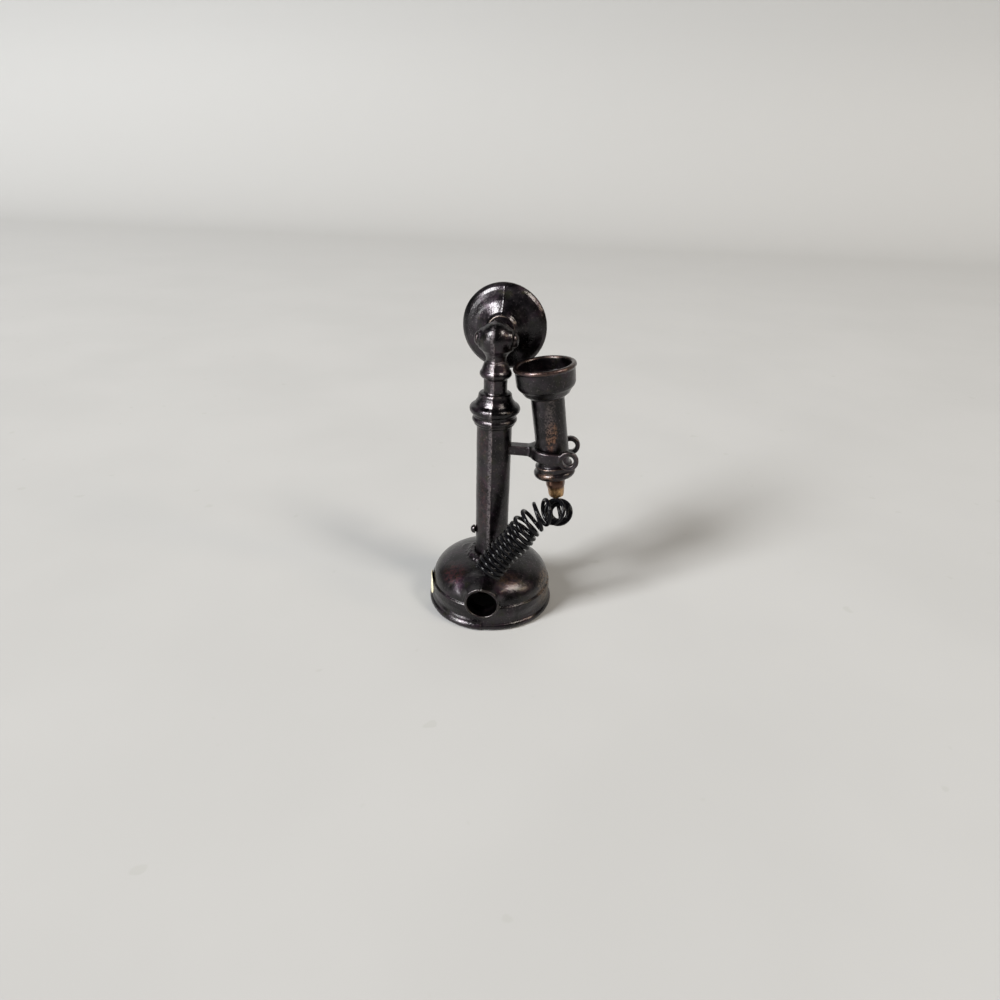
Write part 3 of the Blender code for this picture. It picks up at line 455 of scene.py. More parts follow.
def waves(points, size, seed):
    """Smooth noise from about -1 to 1 with features of about size metres."""
    total = np.zeros(len(points))
    rng = np.random.default_rng(seed)
    for _ in range(7):
        direction = rng.normal(size=3)
        direction *= 2 * math.pi / (size * rng.uniform(1.2, 2.4)) / np.linalg.norm(direction)
        total += np.sin(points @ direction + rng.uniform(0, 2 * math.pi))
    return total / 3.0


# ---- solid fields
def soft_min(a, b, k):
    """The union of two fields with a fillet about k wide."""
    h = np.maximum(k - np.abs(a - b), 0) / k
    return np.minimum(a, b) - h * h * k / 4


def soft_max(a, b, k):
    """What two fields share, with an edge rounded about k wide."""
    return -soft_min(-a, -b, k)


def flat_distance(section, closed=True):
    """Signed distance to a closed section in the plane, as a function of two arrays.

    With closed False the line from its last point to its first counts for the inside, but
    not as a surface: that is a turned section's axis."""
    points = np.array(section, float)
    low = points.min(0) - 0.003
    high = points.max(0) + 0.003
    cell = 0.00006
    xs = np.arange(low[0], high[0], cell)
    ys = np.arange(low[1], high[1], cell)
    gx, gy = np.meshgrid(xs, ys, indexing="ij")
    near = np.full(gx.shape, 1.0)
    inside = np.zeros(gx.shape, bool)
    for i, (a, b) in enumerate(zip(points, np.roll(points, -1, 0))):
        ex, ey = b - a
        squared = ex * ex + ey * ey
        if squared < 1e-16:
            continue
        if closed or i < len(points) - 1:
            t = np.clip(((gx - a[0]) * ex + (gy - a[1]) * ey) / squared, 0, 1)
            near = np.minimum(near, (gx - a[0] - t * ex) ** 2 + (gy - a[1] - t * ey) ** 2)
        if a[1] != b[1]:
            crosses = (gy >= min(a[1], b[1])) & (gy < max(a[1], b[1]))
            inside ^= crosses & (gx < a[0] + (gy - a[1]) / ey * ex)
    table = np.sqrt(near) * np.where(inside, -1, 1)

    def look_up(x, y):
        fx = np.clip((x - low[0]) / cell, 0, len(xs) - 1.001)
        fy = np.clip((y - low[1]) / cell, 0, len(ys) - 1.001)
        ix, iy = fx.astype(int), fy.astype(int)
        tx, ty = fx - ix, fy - iy
        found = (table[ix, iy] * (1 - tx) * (1 - ty) + table[ix + 1, iy] * tx * (1 - ty)
                 + table[ix, iy + 1] * (1 - tx) * ty + table[ix + 1, iy + 1] * tx * ty)
        past = np.hypot(x - np.clip(x, xs[0], xs[-2]), y - np.clip(y, ys[0], ys[-2]))
        return found + past

    return look_up


def rod(p, axis, radius, low, high, edge=0.0):
    """Distance to a cylinder along one axis through the origin, its edges rounded."""
    others = [i for i in range(3) if i != axis]
    side = np.hypot(p[:, others[0]], p[:, others[1]]) - radius
    end = np.abs(p[:, axis] - (low + high) / 2) - (high - low) / 2
    return corner(side, end, edge)


def corner(a, b, edge):
    """The meeting of two slabs with a rounded outer edge."""
    a, b = a + edge, b + edge
    return np.minimum(np.maximum(a, b), 0) + np.hypot(np.maximum(a, 0), np.maximum(b, 0)) - edge


def block(p, low, high, edge=0.0):
    """Distance to a box between two corners, its edges rounded."""
    low, high = np.array(low), np.array(high)
    q = np.abs(p - (low + high) / 2) - (high - low) / 2 + edge
    return np.minimum(q.max(1), 0) + np.linalg.norm(np.maximum(q, 0), axis=1) - edge


# the twelve edges of a cell, as pairs of its corners
EDGES = [((x, y, z), (x + (d == 0), y + (d == 1), z + (d == 2)))
         for d in range(3) for x in (0, 1) for y in (0, 1) for z in (0, 1)
         if (x, y, z)[d] == 0]


def skin(field, low, high, cell):
    """Points and quads of the surface where field is 0: a surface net, then relaxed on it."""
    size = 4
    low = np.array(low, float)
    blocks = np.ceil((np.array(high) - low) / (cell * size)).astype(int) + 1
    corners = np.indices(blocks).reshape(3, -1).T
    rough = field(low + (corners * size + (size - 1) / 2) * cell)
    near = np.abs(rough) < cell * size * 1.5
    values = np.repeat(rough[:, None], size ** 3, 1)
    offsets = np.indices((size,) * 3).reshape(3, -1).T
    chosen = np.flatnonzero(near)
    for part in np.array_split(chosen, max(1, len(chosen) // 4000)):
        points = (corners[part][:, None, :] * size + offsets[None]).reshape(-1, 3)
        values[part] = field(low + points * cell).reshape(len(part), -1)
    values = values.reshape(*blocks, size, size, size).transpose(0, 3, 1, 4, 2, 5)
    values = values.reshape(blocks * size)
    inside = values < 0
    total = sum(inside[x:x + inside.shape[0] - 1, y:y + inside.shape[1] - 1,
                       z:z + inside.shape[2] - 1].astype(np.int8)
                for x in (0, 1) for y in (0, 1) for z in (0, 1))
    active = (total > 0) & (total < 8)
    cells = np.argwhere(active)
    ids = np.full(active.shape, -1)
    ids[active] = np.arange(len(cells))
    place = np.zeros((len(cells), 3))
    count = np.zeros(len(cells))
    for a, b in EDGES:
        va = values[tuple((cells + a).T)]
        vb = values[tuple((cells + b).T)]
        cross = (va < 0) != (vb < 0)
        t = np.where(cross, va / np.where(cross, va - vb, 1), 0)
        place += np.where(cross[:, None], np.array(a) + t[:, None] * (np.array(b) - a), 0)
        count += cross
    verts = low + (cells + place / count[:, None]) * cell
    quads = []
    for d in range(3):
        u, v = (d + 1) % 3, (d + 2) % 3
        at = np.argwhere(np.diff(inside, axis=d))
        at = at[(at[:, u] > 0) & (at[:, v] > 0) & (at[:, u] < active.shape[u])
                & (at[:, v] < active.shape[v])]
        step_u, step_v = np.eye(3, dtype=int)[u], np.eye(3, dtype=int)[v]
        four = np.stack([ids[tuple((at - step_u - step_v).T)], ids[tuple((at - step_v).T)],
                         ids[tuple(at.T)], ids[tuple((at - step_u).T)]], 1)
        flip = ~inside[tuple(at.T)]
        four[flip] = four[flip][:, ::-1]
        quads.append(four)
    quads = np.vstack(quads)
    for turn in range(5):
        if turn < 4:
            verts = relax(verts, quads)
        verts = onto(field, verts, cell)
    return verts, quads


def relax(verts, quads):
    """Move each point half way to the mean of its neighbours."""
    total = np.zeros_like(verts)
    count = np.zeros(len(verts))
    for k in range(4):
        a, b = quads[:, k], quads[:, (k + 1) % 4]
        for here, other in ((a, b), (b, a)):
            np.add.at(total, here, verts[other])
            np.add.at(count, here, 1)
    return verts + 0.5 * (total / count[:, None] - verts)


def onto(field, verts, cell):
    """Pull points onto the surface along the field's slope."""
    reach = cell * 0.2
    for _ in range(2):
        value = field(verts)
        slope = np.stack([field(verts + reach * e) - field(verts - reach * e)
                          for e in np.eye(3)], 1) / (2 * reach)
        squared = np.maximum((slope ** 2).sum(1), 0.2)
        move = -(value / squared)[:, None] * slope
        length = np.maximum(np.linalg.norm(move, axis=1), 1e-12)
        verts = verts + move * np.minimum(1, cell * 0.7 / length)[:, None]
    return verts


def cast(name, field, low, high, cell, matrix, mat, body, replaced):
    """A cast piece whose edges and joints are rounded, from its field in its own frame."""
    verts, quads = skin(field, low, high, cell)
    ways = np.array([(x, y, z) for x in (-1, 0, 1) for y in (-1, 0, 1) for z in (-1, 0, 1)
                     if abs(x) + abs(y) + abs(z) in (1, 3)], float)
    ways *= EDGE_REACH / np.linalg.norm(ways, axis=1)[:, None]
    edge = np.mean([field(verts + way) for way in ways], 0) / EDGE_REACH
    placed = verts @ np.array(matrix.to_3x3()).T + np.array(matrix.translation)
    return mesh_object(name, placed, quads, mat, body, replaced, edge)


# ---- cord
COIL = (                # middle of the coil, its axis, radius and turns made so far
    ((-0.0174, 0.0024, 0.0291), (0.00, 0.88, 0.47), 0.0021, 0.0),
    ((-0.0174, 0.0030, 0.0294), (0.00, 0.88, 0.47), 0.0022, 0.8),
    ((-0.0174, 0.0037, 0.0298), (0.05, 0.88, 0.46), 0.0030, 1.5),
    ((-0.0166, 0.0046, 0.0303), (0.40, 0.80, 0.35), 0.0030, 2.4),
    ((-0.0148, 0.0055, 0.0307), (0.80, 0.55, 0.05), 0.0030, 3.3),
    ((-0.0130, 0.0065, 0.0303), (0.85, 0.42, -0.25), 0.0031, 4.2),
    ((-0.0113, 0.0076, 0.0291), (0.75, 0.30, -0.52), 0.0033, 5.1),
    ((-0.0098, 0.0083, 0.0275), (0.62, 0.22, -0.70), 0.0034, 6.2),
    ((-0.0081, 0.0092, 0.0247), (0.58, 0.20, -0.75), 0.0034, 8.6),
    ((-0.0048, 0.0108, 0.0212), (0.58, 0.28, -0.72), 0.0034, 12.2),
    ((-0.0022, 0.0125, 0.0180), (0.52, 0.35, -0.76), 0.0034, 15.4),
    ((-0.0007, 0.0133, 0.0159), (0.45, 0.38, -0.80), 0.0033, 17.3))


def coil_path():
    """The wire's centre line from the ferrule to the bush, in the row frame."""
    rows = np.array([(*centre, *axis, radius) for centre, axis, radius, _ in COIL])
    knots = np.array([row[3] for row in COIL])
    slopes = np.gradient(rows, knots, axis=0)
    per_turn = 32
    turns = np.arange(int(knots[-1] * per_turn) + 1) / per_turn
    i = np.clip(np.searchsorted(knots, turns, "right") - 1, 0, len(knots) - 2)
    span = (knots[i + 1] - knots[i])[:, None]
    s = (turns[:, None] - knots[i][:, None]) / span
    smooth = ((2 * s ** 3 - 3 * s ** 2 + 1) * rows[i] + (s ** 3 - 2 * s ** 2 + s) * span * slopes[i]
              + (3 * s ** 2 - 2 * s ** 3) * rows[i + 1] + (s ** 3 - s ** 2) * span * slopes[i + 1])
    points = []
    for turn, row in zip(turns, smooth):
        ahead = Vector(row[3:6]).normalized()
        side = Vector((0, 0, 1))
        side = (side - ahead * side.dot(ahead)).normalized()
        across = ahead.cross(side)
        angle = math.pi + 2 * math.pi * turn
        points.append(BASE @ (Vector(row[:3]) + side * row[6] * math.cos(angle)
                              - across * row[6] * math.sin(angle)))
    return points


def tube(path, radius, sides):
    """Verts and faces of a tube that follows the path, with flat ends."""
    verts = []
    side = (path[1] - path[0]).normalized().orthogonal().normalized()
    count = len(path)
    for i, point in enumerate(path):
        before, after = path[max(0, i - 1)], path[min(count - 1, i + 1)]
        ahead = (after - before).normalized()
        side = (side - ahead * side.dot(ahead)).normalized()
        across = ahead.cross(side)
        for k in range(sides):
            angle = 2 * math.pi * k / sides
            verts.append(point + side * radius * math.cos(angle)
                         + across * radius * math.sin(angle))
    faces = [(a, d, c, b) for a, b, c, d in ring_quads(count, sides)]
    faces.append(tuple(reversed(range(sides))))
    faces.append(tuple(range((count - 1) * sides, count * sides)))
    return verts, faces


def add_cord():
    low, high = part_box("cord_bush")
    bush = Vector(((low[0] + high[0]) / 2, (low[1] + high[1]) / 2, high[2]))
    down = -(RECEIVER.to_3x3() @ Vector((0, 0, 1)))
    nub = RECEIVER @ Vector((0, 0, NUB_FOOT - 0.0001))
    coil = coil_path()
    leave = nub + down * 0.0009
    outward = Vector((bush.x - AXIS_X, bush.y - AXIS_Y, 0)).normalized()
    normal = (Vector((0, 0, 1)) + outward * 0.45).normalized()
    arrive = bush + normal * 0.0007
    top = interpolate_bezier(leave, leave + down * 0.0022,
                             coil[0] + (coil[0] - coil[1]) * 3, coil[0], 12)
    foot = interpolate_bezier(coil[-1], coil[-1] + (coil[-1] - coil[-2]) * 3,
                              arrive + normal * 0.0010, arrive, 12)
    path = [nub, nub.lerp(leave, 0.5)] + top[:-1] + coil + foot[1:] + [bush]
    verts, faces = tube(path, WIRE_R, 12)
    n = Nodes("cord_gloss", 0.0, 0.2, (0.003, 0.003, 0.004))
    n.set("Specular IOR Level", 0.15)
    smudge = n.noise(420, 3, seed=4)
    skin_noise = n.noise(1800, 2, seed=6)
    colour = n.mix(n.ramp(smudge, 0.35, 0.7), (0.0022, 0.0022, 0.003), (0.005, 0.005, 0.006))
    n.bump((skin_noise, 0.00002, 0.25))
    mat = n.finish(colour, n.ramp(smudge, 0.3, 0.7, 0.08, 0.16))
    cord = mesh_object("curly_cord", verts, faces, mat, None, "coiled_cord")
    length = sum((b - a).length for a, b in zip(path, path[1:]))
    tuple(path[-1])
    [tuple(p) for p in reversed(path)]
    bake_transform(cord)
    print("cord length, mm:", round(length * 1000, 1))


add_cord()


# ---- base
def dome_height(radius):
    """How high the dome's outside is at a distance from its axis."""
    return DOME_FOOT + DOME_RISE * math.sqrt(max(0.0, 1 - (radius / DOME_R) ** DOME_POWER))


def dome(radius, foot, rise, start, end, count):
    """Points of a dome's section, from start to end in degrees."""
    return [(radius * max(math.cos(a), 0.0) ** (2 / DOME_POWER), foot + rise * math.sin(a))
            for a in sweep(start, end, count)]


def add_base():
    ring_foot = dome_height(RING_R)
    ring_top = ring_foot + RING_H
    socket = COLUMN_FOOT_R + 0.00010
    crown = DOME_FOOT + DOME_RISE
    start = math.degrees(math.acos((RING_R / DOME_R) ** (DOME_POWER / 2)))
    post_top = crown + POST_RISE
    outside = [(0, post_top), (POST_R, post_top), (POST_R, crown), (socket, crown),
               (socket, ring_top - 0.0002), (socket + 0.0003, ring_top),
               (RING_R - 0.0009, ring_top), (RING_R - 0.0002, ring_top - 0.0005),
               (RING_R, ring_foot + 0.0001)]
    outside += dome(DOME_R, DOME_FOOT, DOME_RISE, start - 2, 0, 40)
    outside += [(DOME_R - 0.0001, SKIRT_TOP + 0.0002), (SKIRT_R - 0.0001, SKIRT_TOP + 0.0001),
                (SKIRT_R + 0.00005, SKIRT_TOP - 0.0001),
                (SKIRT_R + 0.00015, 0.0050), (FOOT_R - 0.0008, 0.0032),
                (FOOT_R - 0.0006, FOOT_BEAD + 0.0003), (FOOT_R - 0.00055, FOOT_BEAD)]
    outside += arc(FOOT_R - FOOT_BEAD / 2, FOOT_BEAD / 2, FOOT_BEAD / 2, 62, -70, 12)
    outside.append((FOOT_R - FOOT_BEAD / 2, 0))
    inner = DOME_R - WALL
    inside = [(inner, 0), (inner, DOME_FOOT)]
    inside += dome(inner, DOME_FOOT, DOME_RISE - CROWN_WALL, 6, 86, 24)
    inside.append((0, crown - CROWN_WALL))
    shell = flat_distance(outside + inside, closed=False)

    def field(p):
        x, y, z = p.T
        r = np.hypot(x, y)
        low_front = np.clip((y - 0.010) / 0.002, 0, 1) * np.clip((0.0031 - z) / 0.0006, 0, 1)
        step = BEAD_STEP * low_front * (1 / (1 + np.exp(-x / 0.00005)) - 0.5)
        crumbs = np.exp(-((r - CRUMBS_R) / 0.0011) ** 2) * (z > 0.0135)
        rough = 0.00009 * crumbs * waves(p, 0.0007, 5) + 0.000035 * waves(p, 0.005, 6)
        body = shell(r - step, z) - rough
        q = np.stack([x, y, z - HOLE_Z], 1)
        hood = rod(q, 1, HOLE_R + HOOD_WALL, HOOD_ROOT, HOOD_FACE, 0.00022)
        reach = HOOD_FILLET * np.clip((z - HOLE_Z + 0.001) / 0.004, 0.06, 1)
        body = soft_min(body, hood, reach)
        line = np.exp(-(x / 0.00016) ** 2) * (y > 0.012) * (z > 0.0118)
        body = body - 0.00012 * line * (0.7 + 0.5 * waves(p, 0.0009, 8))
        for side in (-1, 1):
            at = p - np.array((side * BOSS[0], BOSS[1], 0))
            body = soft_min(body, rod(at, 2, BOSS_R, BOSS_FOOT, 0.0138, 0.0001), 0.0003)
            body = np.maximum(body, -rod(at, 2, BOSS_BORE_R, 0.009, 0.0131))
        return soft_max(body, -rod(q, 1, HOLE_R, HOOD_ROOT - 0.003, 0.03), 0.00022)

    patches = [((0.0085, 0.0085, 0.0120), (0.0050, 0.0045, 0.0030), RED_BRONZE, 0.8),
               ((-0.0060, 0.0105, 0.0125), (0.0050, 0.0035, 0.0025), BROWN_BRONZE, 0.6),
               ((-0.0155, 0.0020, 0.0070), (0.0045, 0.0090, 0.0060), TAN_WEAR, 0.85)]
    cast("base_casting", field, (-0.0172, -0.0172, -0.0004), (0.0172, 0.0172, 0.0212), 0.00024,
         BASE, bronze("base_bronze", patches, 0.5, 0.0, wear_and_shine_to=(0.10, 0.08, 0.07)), "stand",
         "base_shell")


# ---- column
def add_column():
    rise = PIVOT_Z
    top = arc(0, rise, YOKE_R, 90, -22, 20)
    flare = [(0.0036, rise - 0.0023), (0.0031, rise - 0.0029), (0.0026, rise - 0.0037),
             (0.00235, rise - 0.0044), (0.0023, rise - 0.0049), (0.0028, rise - 0.0054)]
    bead = arc(0.00275, 0.0634, 0.0011, 52, -62, 12)
    neck = [(0.00288, 0.0621), (0.00284, 0.0605), (0.00288, 0.0590), (0.0030, 0.05875)]
    shoulder = [(0.0037, 0.05872), (0.0040, 0.0584), (0.00405, 0.0579), (0.0043, 0.0571),
                (0.0050, 0.0561)]
    collar = arc(0.00495, 0.0547, 0.0012, 60, -62, 14)
    low = [(0.0054, 0.0532)] + arc(0.0047, 0.0521, 0.0008, 55, -62, 10)
    shaft = [(0.00500, 0.0509), (COLUMN_TOP_R + 0.0001, 0.0505), (COLUMN_TOP_R, 0.0498),
             (COLUMN_FOOT_R, 0.01470), (COLUMN_FOOT_R - 0.0001, 0.01445)]
    core = [(COLUMN_BORE_R, 0.01445), (COLUMN_BORE_R, 0.0237), (0, 0.0237)]
    outline = flat_distance(top + flare + bead + neck + shoulder + collar + low + shaft + core,
                            closed=False)
    slot = flat_distance([(-0.010, -SLOT_R)] + arc(0, 0, SLOT_R, -90, 114, 30)
                         + [(-0.00126, 0.010), (-0.010, 0.010)])

    def field(p):
        x, y, z = p.T
        r = np.hypot(x, y)
        flank = np.abs(x) / np.maximum(r, 1e-9)
        ahead = np.abs(y) / np.maximum(r, 1e-9)
        swell = 0.00040 * flank * ahead ** 2 * np.clip((rise - z) / 0.004, 0, 1)
        drift = 0.00003 * waves(p, 0.006, 11)
        body = outline(r + swell, z) - drift
        beads = 0.75 + 0.55 * waves(np.stack([x * 0, y * 0, z], 1), 0.0011, 12)
        seam = np.exp(-(x / SEAM_HALF) ** 2) * np.clip(beads, 0.15, 1.4)
        seam = seam * np.clip((rise + 0.002 - z) / 0.003, 0, 1) * (np.abs(y) > 0.0012)
        body = body - SEAM_RISE * seam
        c, s = math.cos(HEAD_YAW), math.sin(HEAD_YAW)
        q = np.stack([x * c - y * s, x * s + y * c, z - rise], 1)
        ears = rod(q, 0, EAR_R, -YOKE_R, YOKE_R, 0.0005)
        body = soft_min(body, ears, 0.0007)
        gap = corner(slot(q[:, 1], q[:, 2]), np.abs(q[:, 0]) - SLOT_HALF, 0.0)
        body = soft_max(body, -gap, 0.0002)
        body = np.maximum(body, -rod(q, 0, PIVOT_BORE_R, -0.01, 0.01))
        arm = block(p, (-0.009, -0.00156, HOOK_Z - 0.00126), (-0.00205, 0.00156, HOOK_Z + 0.00126))
        return np.maximum(body, -arm)

    patches = [((0.003, 0.003, 0.030), (0.004, 0.004, 0.012), RED_BRONZE, 0.30),
               ((0.0035, 0.0025, 0.047), (0.004, 0.004, 0.006), RED_BRONZE, 0.30)]
    # the column's pale seam band is partly a painted highlight
    cast("column_casting", field, (-0.0068, -0.0068, 0.0140), (0.0068, 0.0068, 0.0762), 0.00019,
         BASE, bronze("column_bronze", patches, 0.8, 3.0, wear_and_shine_to=(0.30, 0.25, 0.24), seam_wear_and_shine=0.6),
         "stand", "column")


def pin_section(radius, reach, head_r, head_h):
    """A pin along its axis with a domed head at each end."""
    top = [(0, reach + head_h), (head_r * 0.35, reach + head_h * 0.97),
           (head_r * 0.65, reach + head_h * 0.82), (head_r * 0.88, reach + head_h * 0.52),
           (head_r * 0.99, reach + head_h * 0.15), (head_r, reach), (radius, reach)]
    return top + [(r, -z) for r, z in reversed(top)]


def add_pins():
    mat = bronze("pin_bronze", (), 0.5, 5.0, wear_and_shine_to=(0.09, 0.07, 0.065))
    turned("tilt_pin_riveted", pin_section(PIVOT_R, PIVOT_REACH, PIVOT_HEAD_R, 0.0010),
           HEAD @ ALONG_X, mat, "stand", "tilt_pin", 40)
    place = (BASE @ Matrix.Translation((0, 0, PIN_Z)) @ Matrix.Rotation(PIN_YAW, 4, "Z")
             @ ALONG_X)
    turned("column_pin_riveted", pin_section(PIN_R, PIN_REACH, PIN_HEAD_R, 0.0011),
           place, mat, "stand", "column_pin", 40)


# ---- transmitter
def add_transmitter():
    back, front = CASE_BACK, CASE_FRONT
    recess = front - 0.0013
    plate_r = CASE_R - 0.0011
    section = [(0, recess), (plate_r, recess), (plate_r, front - 0.0001)]
    section += arc(CASE_R - CASE_ROUND, front - CASE_ROUND, CASE_ROUND, 80, -20, 8)
    section += [(CASE_R - 0.0004, back + 0.0037), (CASE_R - 0.0008, back + 0.0033),
                (CASE_R - 0.0015, back + 0.0029), (CASE_R - 0.0024, back + 0.00265),
                (HUB_FLARE, back + 0.0025), (0.0065, back + 0.00235), (0.0060, back + 0.0021),
                (0.0040, back + 0.0008), (0.0036, back + 0.0003), (0.0033, back), (0, back)]
    outline = flat_distance(section, closed=False)
    meet = 180 - math.degrees(math.asin(STEM_HALF / TONGUE_R))
    tongue = flat_distance([(-back - 0.0006, -STEM_HALF)] + arc(0, 0, TONGUE_R, -meet, meet, 40)
                           + [(-back - 0.0006, STEM_HALF)])

    def field(p):
        """In the head's frame: the horn's way is -Y and the pivot is the origin."""
        x, y, z = p.T
        up = z - CASE_RISE
        r = np.hypot(x, up)
        seam = np.exp(-(x / 0.00012) ** 2) * (up > 0.0035) * (r < 0.0098) * (y > -front + 0.001)
        body = outline(r, -y) - 0.00007 * seam - 0.00002 * waves(p, 0.005, 21)
        stem = corner(tongue(y, z), np.abs(x) - TONGUE_HALF, 0.0001)
        body = soft_min(body, stem, 0.0003)
        return np.maximum(body, -rod(p, 0, PIVOT_BORE_R, -0.01, 0.01))

    # the case's edge colour also paints the highlight round the hub's rim and the disc's rim
    cast("transmitter_casting", field, (-0.0112, -0.0106, -0.0102), (0.0112, 0.0034, 0.0122),
         0.00017, HEAD,
         bronze("case_bronze", (), 0.9, 7.0, wear_and_shine_to=(0.14, 0.108, 0.088), edge_at=(0.06, 0.17)),
         "transmitter", "transmitter_case")

    lip = HORN_FRONT
    bell = []
    for i in range(25):
        part = i / 24
        radius = HORN_THROAT_R + (HORN_LIP_R - HORN_THROAT_R) * part ** 2.2
        bell.append((radius, lip - 0.0003 - HORN_LENGTH * 0.9 * (1 - part)))
    inside = [(0, front - 0.0002), (0.0016, front - 0.0002)]
    inside += [(r - HORN_WALL, z) for r, z in bell]
    edge = [(0.0050, lip - 0.00005), (0.0053, lip), (0.00555, lip - 0.0001)]
    plate = [(0.0030, front + 0.0011), (0.0040, front + 0.0008), (plate_r * 0.70, front + 0.0005),
             (plate_r - 0.0010, front + 0.0002), (plate_r - 0.0004, front - 0.0002),
             (plate_r - 0.0003, recess + 0.0002), (0, recess + 0.00015)]
    turned("mouthpiece_horn", rounded(inside + edge + bell[::-1] + plate, 0.0003), CASE,
           bronze("horn_bronze", (), 0.7, 9.0), "transmitter", "mouthpiece", 112)


# ---- hook
def add_hook():
    centre = HANDLE_R + 0.0004 + PRONG_HALF
    eye_x = RECEIVER_X - EYE_REACH

    def field(p):
        x, y, z = p.T
        up = z - HOOK_Z
        bowed = np.abs(np.hypot(x - RECEIVER_X, y) - centre)
        straight = np.hypot(np.minimum(x - eye_x, 0), np.abs(y) - centre)
        side = np.where(x > RECEIVER_X, bowed, straight) - PRONG_HALF
        body = corner(side, np.abs(up) - PRONG_HALF_H, 0.00035)
        arm = block(p, (RECEIVER_X + centre, -0.0015, HOOK_Z - 0.0012),
                    (-0.0022, 0.0015, HOOK_Z + 0.0012), 0.0003)
        body = soft_min(body, arm, 0.0009)
        for sign in (-1, 1):
            q = np.stack([x - eye_x, y * sign - centre, up], 1)
            eye = rod(q, 1, EYE_R, -PRONG_HALF, PRONG_HALF, 0.00025)
            rim = np.hypot(np.hypot(q[:, 0], q[:, 2]) - 0.0021, q[:, 1] - 0.00045) - 0.00028
            body = soft_min(soft_min(body, eye, 0.0004), rim, 0.0002)
            body = soft_max(body, -rod(q, 1, EYE_HOLE_R, -0.004, 0.004), 0.0002)
        inner = HANDLE_R + 0.00035
        clear = np.where(x > RECEIVER_X, np.hypot(x - RECEIVER_X, y), np.abs(y)) - inner
        body = np.maximum(body, -np.maximum(clear, x + 0.008))
        return body - 0.00002 * waves(p, 0.004, 31)

    # the hook's edge colour is strong so that it also paints the highlight along the prongs' upper
    # edges
    cast("hook_casting", field, (-0.0220, -0.0070, 0.0412), (-0.0018, 0.0070, 0.0478), 0.00014,
         BASE, bronze("hook_bronze", (), 0.6, 11.0, wear_and_shine_to=(0.17, 0.13, 0.13)), "stand",
         "receiver_hook")


# ---- receiver
def dented(amount, size, seed):
    """A change for turned(): small dents and waves, along the radius."""
    def change(points):
        r = np.hypot(points[:, 0], points[:, 1])
        factor = 1 + amount * waves(points, size, seed) / np.maximum(r, 0.001)
        return np.stack([points[:, 0] * factor, points[:, 1] * factor, points[:, 2]], 1)
    return change


